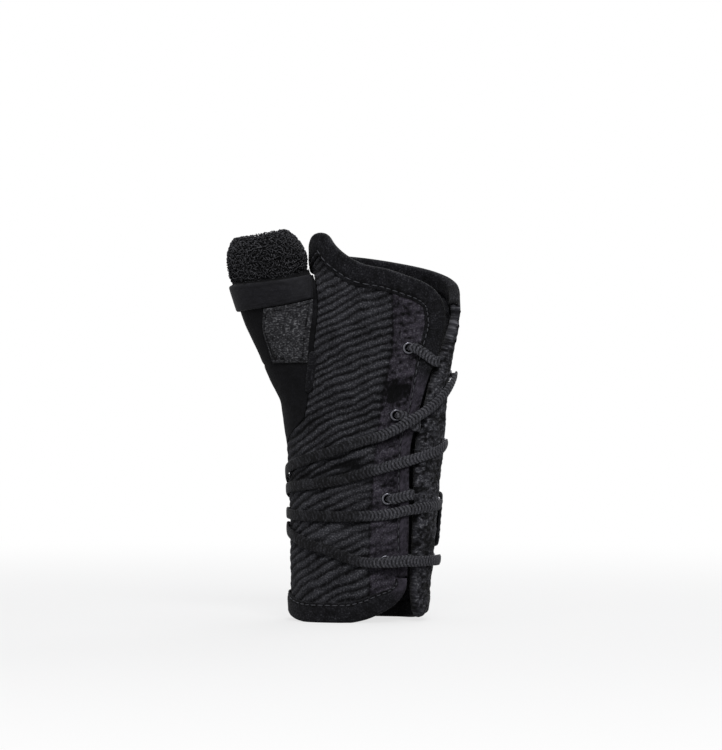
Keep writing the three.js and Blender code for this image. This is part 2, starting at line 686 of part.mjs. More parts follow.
// Stations down through an eyelet's bore, from the run outside to the run inside
function throughBore([angle, z], outside, inside) {
  const place = ([across, up], share) => {
    const degrees = degreesFor(bendReach * share, angle, z);
    return [angle + across * degrees, z + up * bendReach * share];
  };
  return [
    laceStation(...place(outside.towards, 1), outside.lift, outside.heading, 0),
    laceStation(...place(outside.towards, 1 / 4), outside.lift - laceThickness / 8, outside.heading, 1 / 2),
    laceStation(angle, z, clearance + flangeThickness, outside.heading, 1),
    laceStation(angle, z, -panelThickness / 2, (outside.heading + inside.heading) / 2, 1),
    laceStation(angle, z, -panelThickness - clearance - flangeThickness, inside.heading, 1),
    laceStation(...place(inside.towards, 1 / 4), inside.lift + laceThickness / 8, inside.heading, 1 / 2),
    laceStation(...place(inside.towards, 1), inside.lift, inside.heading, 0),
  ];
}

// Stations from a flap eyelet, inside, up through the gap and over the palm edge to a palm eyelet
function throughGap(flapEyelet, palmEyelet, crossing) {
  const edge = palmEdgeAngle(crossing);
  const middle = edge + degreesFor(laceGap / 2, edge, crossing);
  const near = degreesFor(bendReach, edge, crossing);
  const under = laceStation(mix(flapEyelet[0], middle, 1 / 2), mix(flapEyelet[1], crossing, 1 / 2), laceInside);
  const outBy = mix(palmEyelet[0], middle, 1 / 2);
  return [
    under,
    laceStation(middle + near, crossing, laceInside),
    laceStation(middle + near / 4, crossing, laceInside + laceThickness / 4),
    laceStation(middle, crossing, mix(laceInside, laceOverEdge, 1 / 3)),
    laceStation(middle, crossing, mix(laceInside, laceOverEdge, 2 / 3)),
    laceStation(middle - near / 4, crossing, laceOverEdge - laceThickness / 4),
    laceStation(middle - near, crossing, laceOverEdge),
    laceStation(outBy, mix(palmEyelet[1], crossing, 1 / 2), mix(laceOverEdge, laceOverFlange, 1 / 2)),
  ];
}

function laceStations(runs, flap, palm, crossings) {
  const left = [-1, 0];
  const right = [1, 0];
  const outside = (towards, lift) => ({ towards, lift, heading: acrossHeading });
  const inside = (towards, heading) => ({ towards, lift: laceInside, heading });
  const half = (i, down) => [
    ...longRun(runs[i].rows, runs[i].raised),
    ...throughBore(flap[i], outside(left, runs[i].raised ? laceOverEdge + crossingLift : laceOverFlange),
      inside(left, acrossHeading)),
    ...throughGap(flap[i], palm[i], crossings[i]),
    ...throughBore(palm[i], outside(right, laceOverFlange), inside([0, down], alongHeading)),
  ];
  const first = half(0, -1);
  const second = half(1, 1).reverse();
  const middle = laceStation(mix(palm[0][0], palm[1][0], 1 / 2), mix(palm[0][1], palm[1][1], 1 / 2), laceInside, alongHeading);
  return [...first, middle, ...second];
}

function laceGeometry(stations) {
  const points = stations.map(({ angle, z, lift }) => liftedBody(angle, z, lift));
  const last = stations.length - 1;
  const frames = stations.map(({ angle, z, heading, neck }, i) => {
    const { alongU, alongV } = onBody(angle, z);
    const run = points[Math.min(i + 1, last)].clone().sub(points[Math.max(i - 1, 0)]).normalize();
    const turn = THREE.MathUtils.degToRad(heading);
    const side = alongV.normalize().multiplyScalar(Math.cos(turn)).addScaledVector(alongU.normalize(), Math.sin(turn));
    side.addScaledVector(run, -side.dot(run)).normalize();
    return {
      side: side.clone().multiplyScalar(mix(laceWidth, laceNeckWidth, neck) / 2),
      face: run.cross(side).multiplyScalar(mix(laceThickness, laceNeckThickness, neck) / 2),
    };
  });
  const sheet = (sign) => (t, s) => {
    const i = Math.round(t * last);
    return points[i].clone().addScaledVector(frames[i].side, 2 * s - 1).addScaledVector(frames[i].face, sign);
  };
  return solidBetween({ rows: last, columns: 1, outer: sheet(1), inner: sheet(-1) });
}

const tabMiddle = heightAt(tabMiddleShare);
const laceEnd = tabRootAngle - 360;
const laceRuns = laceRunShares.map(({ front, radial, place, raised }, i) => {
  const rows = front.map(([width, height]) => [angleAt(width, heightAt(height)), heightAt(height)]);
  const atTab = tabMiddle + place * lacePitch;
  const [eyeletAngle, eyeletHeight] = flapEyelets[i];
  return {
    raised,
    rows: [
      [laceEnd + degreesFor(2 * clearance, laceEnd, atTab), atTab],
      [mix(laceEnd, radialSeamAngle, 1 / 2), mix(atTab, heightAt(radial), 2 / 5)],
      [radialSeamAngle, heightAt(radial)],
      ...rows,
      [eyeletAngle - degreesFor(bendReach, eyeletAngle, eyeletHeight), eyeletHeight],
    ],
  };
});
const crossings = gapCrossingShares.map(heightAt);
[['lace_upper', 0], ['lace_lower', 2]].forEach(([name, i]) => {
  const pair = (list) => list.slice(i, i + 2);
  const stations = laceStations(pair(laceRuns), pair(flapEyelets), pair(palmEyelets), pair(crossings));
  addPiece(name, laceGeometry(stations), finishes.lace);
});

// Pull tab: the strap that the laces end in, with its hook patch, stuck down on the flap's back
const tabChart = (from, to) => (u, v) => [mix(from, to, u), tabMiddle + (v - 1 / 2) * tabHeight];
const tabBase = clearance + hookThickness + clearance;
addPiece('pull_tab', clothPanel(tabChart(tabTipAngle, tabRootAngle), {
  rows: 4, columns: 16, lift: tabBase + tabThickness, depth: -tabBase,
}), finishes.strap);
addPiece('pull_tab_hook', clothPanel(tabChart(...hookAngles), {
  rows: 3, columns: 10, lift: clearance + hookThickness, depth: -clearance,
}), finishes.hook);
addPiece('thumb_band_tab', gussetPiece({
  from: thumbTabShares[0], to: thumbTabShares[1],
  low: (u) => bandLow(u) + seamGap, high: (u) => bandTop(u) - 2 * seamGap,
  rows: 2, columns: 8, lift: bandClearance + thumbTabThickness, depth: thumbTabThickness,
}), finishes.strap);

// Stays: flat bars in open-topped or open-bottomed sleeves on the inner face of the lining
function placedBar(geometry, origin, along, inward) {
  const basis = new THREE.Matrix4().makeBasis(along.clone().cross(inward), along, inward);
  return geometry.clone().applyMatrix4(basis.setPosition(origin));
}
function stayGeometry(length, width, neckWidth, thickness) {
  const wide = width / 2;
  const narrow = neckWidth / 2;
  const outline = new THREE.Shape();
  outline.absarc(0, narrow, narrow, Math.PI, Math.PI * 2);
  outline.bezierCurveTo(narrow, length / 2, wide, length / 2, wide, length - wide);
  outline.absarc(0, length - wide, wide, 0, Math.PI);
  outline.bezierCurveTo(-wide, length / 2, -narrow, length / 2, -narrow, narrow);
  return new THREE.ExtrudeGeometry(outline, { depth: thickness, bevelEnabled: false, curveSegments: 6 });
}
function sleeveGeometry(length, width, thickness, openAbove) {
  const room = { width: width + 2 * pocketClearance, depth: thickness + 2 * pocketClearance };
  const skin = new THREE.BoxGeometry(room.width + 2 * pocketWall, length + pocketWall, room.depth + 2 * pocketWall);
  const hollow = new THREE.BoxGeometry(room.width, length + cutOverrun, room.depth);
  const shift = (pocketWall + cutOverrun) / 2;
  hollow.translate(0, openAbove ? shift : -shift, 0);
  const centre = (length + pocketWall) / 2;
  return subtract(skin, [hollow]).translate(0, centre - (openAbove ? pocketWall : 0), thickness / 2);
}

// Depth of a bar whose flat pocket clears the curved lining at its own edges
const liningFace = panelThickness + liningClearance + liningThickness + pocketSeat;
function barDepth(angle, z, width) {
  const reach = degreesFor(width / 2 + pocketClearance + pocketWall, angle, z);
  const { point, normal } = onBody(angle, z);
  const sags = [-reach, reach].map((step) => point.clone().sub(bodyPoint(angle + step, z)).dot(normal));
  return liningFace + Math.max(...sags) + pocketWall + pocketClearance;
}
const underLining = (angle, z, width) => liftedBody(angle, z, -barDepth(angle, z, width));
const inwardAt = (angle, z) => onBody(angle, z).normal.negate();
function addStay({ name, from, to, inward, length, width, neckWidth, thickness, openAbove }) {
  const along = to.clone().sub(from).normalize();
  const inside = inward.clone().addScaledVector(along, -inward.dot(along)).normalize();
  const bar = stayGeometry(length, width, neckWidth, thickness);
  addPiece(name, placedBar(bar, from, along, inside), finishes.aluminium);
  const sleeveLength = length - stayShow * length;
  const base = openAbove ? from : from.clone().addScaledVector(along, stayShow * length);
  const sleeve = sleeveGeometry(sleeveLength, width, thickness, openAbove);
  const gap = openAbove ? -pocketClearance : pocketClearance;
  addPiece(`${name}_pocket`, placedBar(sleeve, base.clone().addScaledVector(along, gap), along, inside), finishes.lining);
}
addStay({
  name: 'palmar_stay',
  from: underLining(palmStayAngle, stayBase, palmStayWidth),
  to: underLining(palmStayAngle, stayBase + palmStayLength, palmStayWidth),
  inward: inwardAt(palmStayAngle, stayBase + palmStayLength / 2),
  length: palmStayLength, width: palmStayWidth, neckWidth: palmStayNeckWidth, thickness: stayThickness,
  openAbove: true,
});
addStay({
  name: 'dorsal_stay',
  from: underLining(dorsalStayAngle, stayBase, dorsalStayWidth),
  to: underLining(dorsalStayAngle, stayBase + dorsalStayLength, dorsalStayWidth),
  inward: inwardAt(dorsalStayAngle, stayBase + dorsalStayLength / 2),
  length: dorsalStayLength, width: dorsalStayWidth, neckWidth: dorsalStayWidth, thickness: stayThickness,
  openAbove: true,
});
const thumbStayEnd = (share) => bodyPoint(thumbSideAngle, heightAt(share), true)
  .add(new THREE.Vector3(thumbStaySeat, 0, 0));
addStay({
  name: 'thumb_stay',
  from: thumbStayEnd(thumbStayShares[0]),
  to: thumbStayEnd(thumbStayShares[1]),
  inward: new THREE.Vector3(1, 0, 0),
  length: thumbStayLength, width: thumbStayWidth, neckWidth: thumbStayWidth, thickness: thumbStayThickness,
  openAbove: false,
});

// The origin is the middle of the base
const bounds = new THREE.Box3().setFromObject(splint);
const centre = bounds.getCenter(new THREE.Vector3());
splint.position.set(-centre.x, -centre.y, -bounds.min.z);

export default splint;
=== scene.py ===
"""Looks of a left-handed lace-up wrist and thumb splint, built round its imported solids.

The cloth shell, its tapes, the thumb sleeve, the laces and the soft inner pieces are modelled here as
fine surfaces. Shapes are worked out in millimetres in the maker's frame, where z = 0 is the lowest
point of the outline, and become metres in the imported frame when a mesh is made.
"""

import logging
import math
from dataclasses import dataclass
from enum import Enum
from functools import cache
from typing import Callable, Sequence

import bpy
import numpy as np
from bpy.types import ID, Material, Node, NodeSocket, NodeTree, Object
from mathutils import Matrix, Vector


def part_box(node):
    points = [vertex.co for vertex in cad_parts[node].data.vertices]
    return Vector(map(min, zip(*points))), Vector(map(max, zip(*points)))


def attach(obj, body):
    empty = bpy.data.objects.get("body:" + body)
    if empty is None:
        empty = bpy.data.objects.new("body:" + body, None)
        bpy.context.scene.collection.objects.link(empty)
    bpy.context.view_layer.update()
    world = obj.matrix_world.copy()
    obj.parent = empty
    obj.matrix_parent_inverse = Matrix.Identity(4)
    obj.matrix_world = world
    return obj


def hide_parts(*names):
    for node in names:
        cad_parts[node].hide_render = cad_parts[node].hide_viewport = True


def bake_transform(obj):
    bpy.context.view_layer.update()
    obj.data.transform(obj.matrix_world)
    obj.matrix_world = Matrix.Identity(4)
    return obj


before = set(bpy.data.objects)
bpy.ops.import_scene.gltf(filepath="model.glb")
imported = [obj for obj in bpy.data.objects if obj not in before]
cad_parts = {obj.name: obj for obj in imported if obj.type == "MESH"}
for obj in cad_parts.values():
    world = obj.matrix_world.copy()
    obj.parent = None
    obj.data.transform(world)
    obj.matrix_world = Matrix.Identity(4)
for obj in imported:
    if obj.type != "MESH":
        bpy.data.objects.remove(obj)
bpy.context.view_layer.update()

LOG = logging.getLogger("splint")
Array = np.ndarray
Curve = Callable[[Array], Array]

MM = 0.001
HEIGHT, WIDTH = 176.4, 105.3
HEM_DEPTH, TOP_DEPTH = 48.0, 38.0
FULLNESS = 2.35
CLOTH = 2.2
FOOT_FLAT = 0.35
CLEARANCE = 0.3
TAPE_CLEARANCE, TAPE_THICKNESS = 0.45, 0.9
FOLD_REACH = CLEARANCE + TAPE_THICKNESS
SEAM_GAP = 0.3
LACE_GAP = 2.8
PALM_TAPE_WIDTH, EDGE_TAPE_WIDTH, HEM_TAPE_WIDTH = 8.6, 4.6, 8.2
EYELET_FLANGE, FLANGE_RISE, EYELET_BORE = 5.6, 0.8, 3.0

CREST_SHARES = (0.56, 0.67)
WEB_EDGE_SHARE, WEB_BLEND_SHARES = 0.357, (0.72, 0.9)
HINGE_SHARE, THUMB_TIP_SHARE, SEAM_BLEND, WEB_BLEND = 0.405, 0.39, 0.14, 0.015
CROTCH_SHARE = 0.889
RADIAL_SEAM, BACK_SEAM, THUMB_SIDE = -100.0, -180.0, -90.0
FAR_ROLL, FLAP_EYELETS_AT = 70.0, 80.0
TAB_ROOT, TAB_TIP = 186.0, 88.0
CROTCH_HALF_ANGLE, THUMB_DEPTH, THUMB_LEAN = 22.0, 31.0, 1.0
BAND_TOP_SHARES, BAND_LOW_SHARES = (0.861, 0.886), (0.792, 0.826)
TAB_MIDDLE_SHARE, TAB_HEIGHT = 0.26, 25.0

RADIAL_SHARES = (
    (0, 0.272), (0.07, 0.265), (0.3, 0.262), (0.42, 0.254), (0.5, 0.242), (0.56, 0.222),
    (0.62, 0.18), (0.7, 0.12), (0.76, 0.072), (0.82, 0.038), (0.89, 0.01), (1, 0.002),
)
ULNAR_SHARES = (
    (0, 0.84), (0.08, 0.862), (0.17, 0.878), (0.3, 0.897), (0.43, 0.919), (0.54, 0.934),
    (0.62, 0.945), (0.7, 0.968), (0.78, 0.985), (0.86, 0.982), (1, 0.95),
)
PALM_EDGE_SHARES = (
    (0, 0.763), (0.07, 0.764), (0.19, 0.771), (0.3, 0.775), (0.37, 0.775), (0.45, 0.782),
    (0.51, 0.806), (0.59, 0.84), (0.65, 0.872), (0.69, 0.9), (0.757, 0.93), (0.82, 0.935),
)
ROLL_OPENING_SHARES = ((0, 0.03), (0.07, 0.006), (0.12, 0), (0.68, 0), (0.74, 0.012), (0.82, 0.045))
THUMB_SEAM_SHARES = (
    (0.39, 0.266), (0.45, 0.3), (0.52, 0.328), (0.6, 0.35), (0.7, 0.368), (0.8, 0.385),
    (0.86, 0.378), (0.89, 0.364), (1, 0.36),
)
CUFF_LEFT_SHARES = ((0.7, 0.1), (0.8, 0.045), (0.889, 0.008), (0.93, 0.002), (0.968, 0.016), (1, 0.045))
CUFF_RIGHT_SHARES = ((0.7, 0.36), (0.8, 0.352), (0.889, 0.336), (0.93, 0.333), (0.968, 0.304), (1, 0.255))
CUFF_RIM_SHARES = (0.978, 1.0)
CUFF_SIDES, CUFF_ROWS = 20, 6
PALM_TOP_SHARES = (
    (0, 0.956), (0.1, 0.978), (0.19, 0.993), (0.25, 0.99), (0.31, 0.966), (0.4, 0.937), (0.5, 0.914),
    (0.6, 0.9), (0.7, 0.882), (0.8, 0.866), (0.88, 0.848), (0.94, 0.826), (0.98, 0.797), (1, 0.757),
)
PALM_BOTTOM_SHARES = (
    (0, 0.026), (0.12, 0.02), (0.3, 0.004), (0.4, 0), (0.62, 0), (0.74, 0.008), (0.84, 0.024),
    (0.92, 0.043), (0.97, 0.062), (1, 0.085),
)
SIDE_BOTTOM_SHARES = ((0, 0.026), (0.5, 0.006), (1, 0))
SIDE_TOP_SHARES = ((0, 0.956), (0.5, 0.945), (1, 0.942))
FLAP_BOTTOM_SHARES = ((0, 0.032), (0.2, 0.016), (0.45, 0), (1, 0))
FLAP_TOP_SHARES = ((0, 0.815), (0.2, 0.86), (0.5, 0.91), (0.8, 0.935), (1, 0.942))
ROLL_BOTTOM_SHARES = ((0, 0.03), (0.25, 0.012), (0.6, 0.014), (1, 0.04))
ROLL_TOP_SHARES = ((0, 0.765), (0.4, 0.8), (0.8, 0.816), (1, 0.814))
PALM_EYELET_SHARES = ((0.698, 0.771), (0.528, 0.718), (0.316, 0.682), (0.158, 0.673))
FLAP_EYELET_SHARES = (0.63, 0.455, 0.302, 0.16)
GAP_CROSSING_SHARES = (0.665, 0.5, 0.326, 0.16)
STRIP_MARGIN_SHARE = 0.068


class Body(Enum):
    """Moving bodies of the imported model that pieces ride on."""

    SHELL = "palmar_shell"
    FLAP = "dorsal_flap"
    PULL_TAB = "pull_tab"
    BAND_TAB = "thumb_band_tab"


class Slot(Enum):
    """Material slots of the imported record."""

    RIBBED = "ribbed_cloth"
    BRUSHED = "brushed_cloth"
    LINING = "lining_cloth"
    KNIT = "stretch_knit"
    PILE = "loop_pile"
    STRAP = "smooth_strap"
    BRAID = "lace_braid"
    HOOK = "hook_tape"
    NICKEL = "black_nickel"


def mix(low: Array | float, high: Array | float, share: Array | float) -> Array | float:
    """Returns the value a share of the way from low to high."""
    return low + (high - low) * share


def ease(start: float, end: float, value: Array | float) -> Array | float:
    """Smoothstep: 3t^2 - 2t^3, where t is how far value is from start to end, held to 0 and 1."""
    t = np.clip((value - start) / (end - start), 0, 1)
    return t * t * (3 - 2 * t)


def bump(distance: Array, width: float) -> Array:
    """Bell of height 1: e to the power of minus the squared share of distance to width."""
    return np.exp(-((distance / width) ** 2))


def rounded(inset: Array, border: float) -> Array:
    """Quarter round from 0 at an edge to 1 from the border inward: sqrt(1 - (1 - inset / border)^2)."""
    return np.sqrt(np.clip(1 - (1 - np.clip(inset / border, 0, 1)) ** 2, 0, 1))


def unit(vectors: Array) -> Array:
    """Returns the vectors at length 1."""
    return vectors / np.maximum(np.linalg.norm(vectors, axis=-1, keepdims=True), 1e-12)


def alike(*values: Array | float) -> list[Array]:
    """Returns values as arrays of one shape."""
    return np.broadcast_arrays(*(np.asarray(value, float) for value in values))


def signed_power(values: Array, power: float) -> Array:
    """Returns each value's size to a power, with the value's sign."""
    return np.sign(values) * np.abs(values) ** power


def section_turns(count: int) -> Array:
    """Returns even turns round a section in radians, the first half a step past 0."""
    return 2 * np.pi * (np.arange(count) + 0.5) / count


def lengths_along(points: Array) -> Array:
    """Returns the length along a line at each of its points."""
    return np.concatenate([[0], np.cumsum(np.linalg.norm(np.diff(points, axis=0), axis=1))])


def spread(rows: int, columns: int, up: tuple = (0, 1), over: tuple = (0, 1)) -> list[Array]:
    """Returns two grids of values: one runs evenly up the rows, the other across the columns."""
    return np.meshgrid(np.linspace(*up, rows), np.linspace(*over, columns), indexing="ij")


def thinned(grid: Array, k: int = 4) -> Array:
    """Returns every k-th row and column of a grid."""
    return grid[::k, ::k]


def border_inset(points: Array, v: Array, u: Array) -> Array:
    """Returns each grid point's length in from the nearest border, in millimetres.

    Across and up, it is the lesser of the shares to both borders, times the grid line's length.
    """
    across = np.linalg.norm(np.diff(points, axis=1), axis=-1).sum(1)[:, None]
    up = np.linalg.norm(np.diff(points, axis=0), axis=-1).sum(0)[None]
    return np.minimum(np.minimum(u, 1 - u) * across, np.minimum(v, 1 - v) * up)


def steady(value: float) -> Curve:
    """Returns a curve that keeps one value."""
    def curve(x: Array) -> Array:
        """Returns the value at each x."""
        return value + 0 * x

    return curve


def raised(line: Curve, rise: float) -> Curve:
    """Returns a curve moved up by a rise."""
    def curve(x: Array) -> Array:
        """Returns the raised line's value at each x."""
        return line(x) + rise

    return curve


def soft_noise(x: Array, y: Array, cell: float, seed: int) -> Array:
    """Smooth value noise from -1 to 1.

    Random values stand on a square lattice of the given cell. Between them the value is their
    bilinear mix, with smoothstep shares, so that it has no creases.

    Args:
        x: Places along the first direction, in millimetres.
        y: Places along the second one.
        cell: Lattice spacing in millimetres.
        seed: Seed of the lattice's values.

    Returns:
        The noise, in the shape that x and y make together.
    """
    size = 96
    table = np.random.default_rng(seed).uniform(-1, 1, (size, size))
    gx, gy = (place / cell for place in alike(x, y))
    ix, iy = np.floor(gx).astype(int), np.floor(gy).astype(int)
    fx, fy = ease(0, 1, gx - ix), ease(0, 1, gy - iy)
    low = mix(table[ix % size, iy % size], table[(ix + 1) % size, iy % size], fx)
    high = mix(table[ix % size, (iy + 1) % size], table[(ix + 1) % size, (iy + 1) % size], fx)
    return mix(low, high, fy)


class ShareCurve:
    """Smooth curve through rows of (x, y) that never overshoots them.

    Between two rows it is a cubic Hermite span, and each inner row's tangent is the harmonic mean
    of the slopes beside it, or level where they differ in sign.
    """

    def __init__(self, rows: Sequence[Sequence[float]]) -> None:
        """Keeps the rows and works out their tangents."""
        self.x, self.y = np.array(rows, float).T
        slopes = np.diff(self.y) / np.diff(self.x)
        before, after = slopes[:-1], slopes[1:]
        total = np.where(before + after == 0, 1, before + after)
        inner = np.where(before * after <= 0, 0, 2 * before * after / total)
        self.tangents = np.concatenate([slopes[:1], inner, slopes[-1:]])

    def __call__(self, x: Array | float) -> Array:
        """Returns the curve's height at each x, held to its ends."""
        at = np.clip(np.asarray(x, float), self.x[0], self.x[-1])
        i = np.clip(np.searchsorted(self.x, at, side="left") - 1, 0, len(self.x) - 2)
        span = self.x[i + 1] - self.x[i]
        t = (at - self.x[i]) / span
        tilt = (1 - t) * self.tangents[i] - t * self.tangents[i + 1]
        return mix(self.y[i], self.y[i + 1], t * t * (3 - 2 * t)) + span * t * (1 - t) * tilt


def height_at(share: Array | float) -> Array | float:
    """Returns the height in millimetres at a share of the splint's height."""
    return share * HEIGHT


def across_at(share: Array | float) -> Array | float:
    """Returns the place across in millimetres at a share of the splint's width."""
    return share * WIDTH - WIDTH / 2


@dataclass(frozen=True)
class Section:
    """Superellipse of the body at a height: its crest, half widths to each side, and depth."""

    crest: Array
    left: Array
    right: Array
    middle: Array
    half: Array


class BodyForm:
    """The splint's body, as a surface over the angle round it and the height."""

    ANGLE_STEP = 0.5
    HEIGHT_STEP = HEIGHT / 1000

    def __init__(self) -> None:
        """Makes the outline curves."""
        self.radial = ShareCurve(RADIAL_SHARES)
        self.ulnar = ShareCurve(ULNAR_SHARES)
        self.palm_edge_share = ShareCurve(PALM_EDGE_SHARES)
        self.roll_opening = ShareCurve(ROLL_OPENING_SHARES)
        self.thumb_seam = ShareCurve(THUMB_SEAM_SHARES)

    def section(self, z: Array, with_thumb: bool = False) -> Section:
        """Returns the section at each height, drawn in to the web where the thumb is left out."""
        share = np.clip(z / HEIGHT, 0, 1)
        crest = mix(*CREST_SHARES, share)
        left = self.radial(share)
        if not with_thumb:
            left = mix(left, WEB_EDGE_SHARE, ease(*WEB_BLEND_SHARES, share))
        front = -HEM_DEPTH / 2
        back = mix(HEM_DEPTH, TOP_DEPTH, share) + front
        return Section(across_at(crest), (crest - left) * WIDTH, (self.ulnar(share) - crest) * WIDTH,
                       (front + back) / 2, (back - front) / 2)

    def point(self, angle: Array, z: Array, with_thumb: bool = False) -> Array:
        """Returns points of the surface: a superellipse's reach times sine and cosine of the angle."""
        angle, z = alike(angle, z)
        at = self.section(z, with_thumb)
        across, facing = np.sin(np.radians(angle)), np.cos(np.radians(angle))
        reach = (np.abs(across) ** FULLNESS + np.abs(facing) ** FULLNESS) ** (-1 / FULLNESS)
        side = np.where(across < 0, at.left, at.right)
        return np.stack([at.crest + reach * across * side, at.middle - reach * facing * at.half, z], -1)

    def angle_at(self, width_share: Array | float, z: Array | float, with_thumb: bool = False) -> Array:
        """Returns the angle whose place on the front shows at a share of the splint's width."""
        at = self.section(np.asarray(z, float), with_thumb)
        offset = across_at(width_share) - at.crest
        ratio = np.minimum(np.abs(offset) / np.where(offset < 0, at.left, at.right), 1)
        facing = (1 - ratio**FULLNESS) ** (1 / FULLNESS)
        return np.sign(offset) * np.degrees(np.arctan2(ratio, facing))

    def along_angle(self, angle: Array, z: Array) -> Array:
        """Returns the surface's derivative over the angle, by a central difference."""
        step = self.ANGLE_STEP
        return (self.point(angle + step, z) - self.point(angle - step, z)) / (2 * step)

    def along_height(self, angle: Array, z: Array) -> Array:
        """Returns the surface's derivative over the height, by a central difference."""
        step = self.HEIGHT_STEP
        return (self.point(angle, z + step) - self.point(angle, z - step)) / (2 * step)

    def normal(self, angle: Array, z: Array) -> Array:
        """Returns the outward normal, the cross product of both derivatives."""
        return unit(np.cross(self.along_angle(angle, z), self.along_height(angle, z)))

    def lifted(self, angle: Array, z: Array, lift: Array | float) -> Array:
        """Returns points at a lift outward from the surface."""
        angle, z, lift = alike(angle, z, lift)
        return self.point(angle, z) + self.normal(angle, z) * lift[..., None]

    def inner_face(self, angle: Array, z: Array) -> Array:
        """Returns every fourth row and column of a grid's points, on the cloth's inner face."""
        return self.lifted(thinned(angle), thinned(z), -CLOTH)

    def degrees_for(self, length: Array | float, angle: Array | float, z: Array | float) -> Array:
        """Returns the turn in degrees that covers a length round the surface."""
        angle, z = alike(angle, z)
        return length / np.linalg.norm(self.along_angle(angle, z), axis=-1)

    def arc(self, angle: Array, z: Array) -> Array:
        """Returns the length round the surface from angle 0.

        It is the angle times the mean stretch on the way, by eight Gauss-Legendre samples.
        """
        places, weights = np.polynomial.legendre.leggauss(8)
        stretch = sum(weight / 2 * np.linalg.norm(self.along_angle(angle * (place + 1) / 2, z), axis=-1)
                      for place, weight in zip(places, weights))
        return angle * stretch

    def moved(self, seam: Curve, length: float) -> Curve:
        """Returns a seam moved round the surface by a length."""
        def curve(z: Array) -> Array:
            """Returns the moved seam's angle at each height."""
            angle = seam(z)
            return angle + self.degrees_for(length, angle, z)

        return curve

    def seam_front(self, z: Array) -> Array:
        """Returns the angle of the seam between palm panel and thumb sleeve."""
        return self._thumb_seam(z, 0.0, 1)

    def seam_back(self, z: Array) -> Array:
        """Returns the angle of the seam between thumb sleeve and thumb side panel."""
        return self._thumb_seam(z, BACK_SEAM, -1)

    def _thumb_seam(self, z: Array, start: float, way: int) -> Array:
        """Returns a seam that leaves the radial seam at the tip and closes at the web.

        Args:
            z: Heights in millimetres.
            start: Angle that the seam is counted from.
            way: 1 where it is counted forwards from there, -1 where backwards.

        Returns:
            The seam's angle at each height.
        """
        share = np.asarray(z, float) / HEIGHT
        opening = ease(THUMB_TIP_SHARE, THUMB_TIP_SHARE + SEAM_BLEND, share)
        low = mix(RADIAL_SEAM, start + way * self.angle_at(self.thumb_seam(share), z), opening)
        return mix(low, THUMB_SIDE, ease(CROTCH_SHARE, CROTCH_SHARE + WEB_BLEND, share))

    def hinge(self, z: Array) -> Array:
        """Returns the angle of the flap's seam on the back."""
        return BACK_SEAM - self.angle_at(HINGE_SHARE, z)

    def far_hinge(self, z: Array) -> Array:
        """Returns the angle of the flap's seam as counted from the roll, one whole turn on."""
        return self.hinge(z) + 360

    def palm_edge(self, z: Array | float) -> Array:
        """Returns the angle of the palm panel's laced edge."""
        return self.angle_at(self.palm_edge_share(np.asarray(z, float) / HEIGHT), z)

    def roll_edge(self, z: Array) -> Array:
        """Returns the angle of the flap roll's edge, across the gap from the palm's."""
        share = np.asarray(z, float) / HEIGHT
        edge = self.angle_at(self.palm_edge_share(share) + self.roll_opening(share), z)
        return edge + self.degrees_for(LACE_GAP, edge, z)


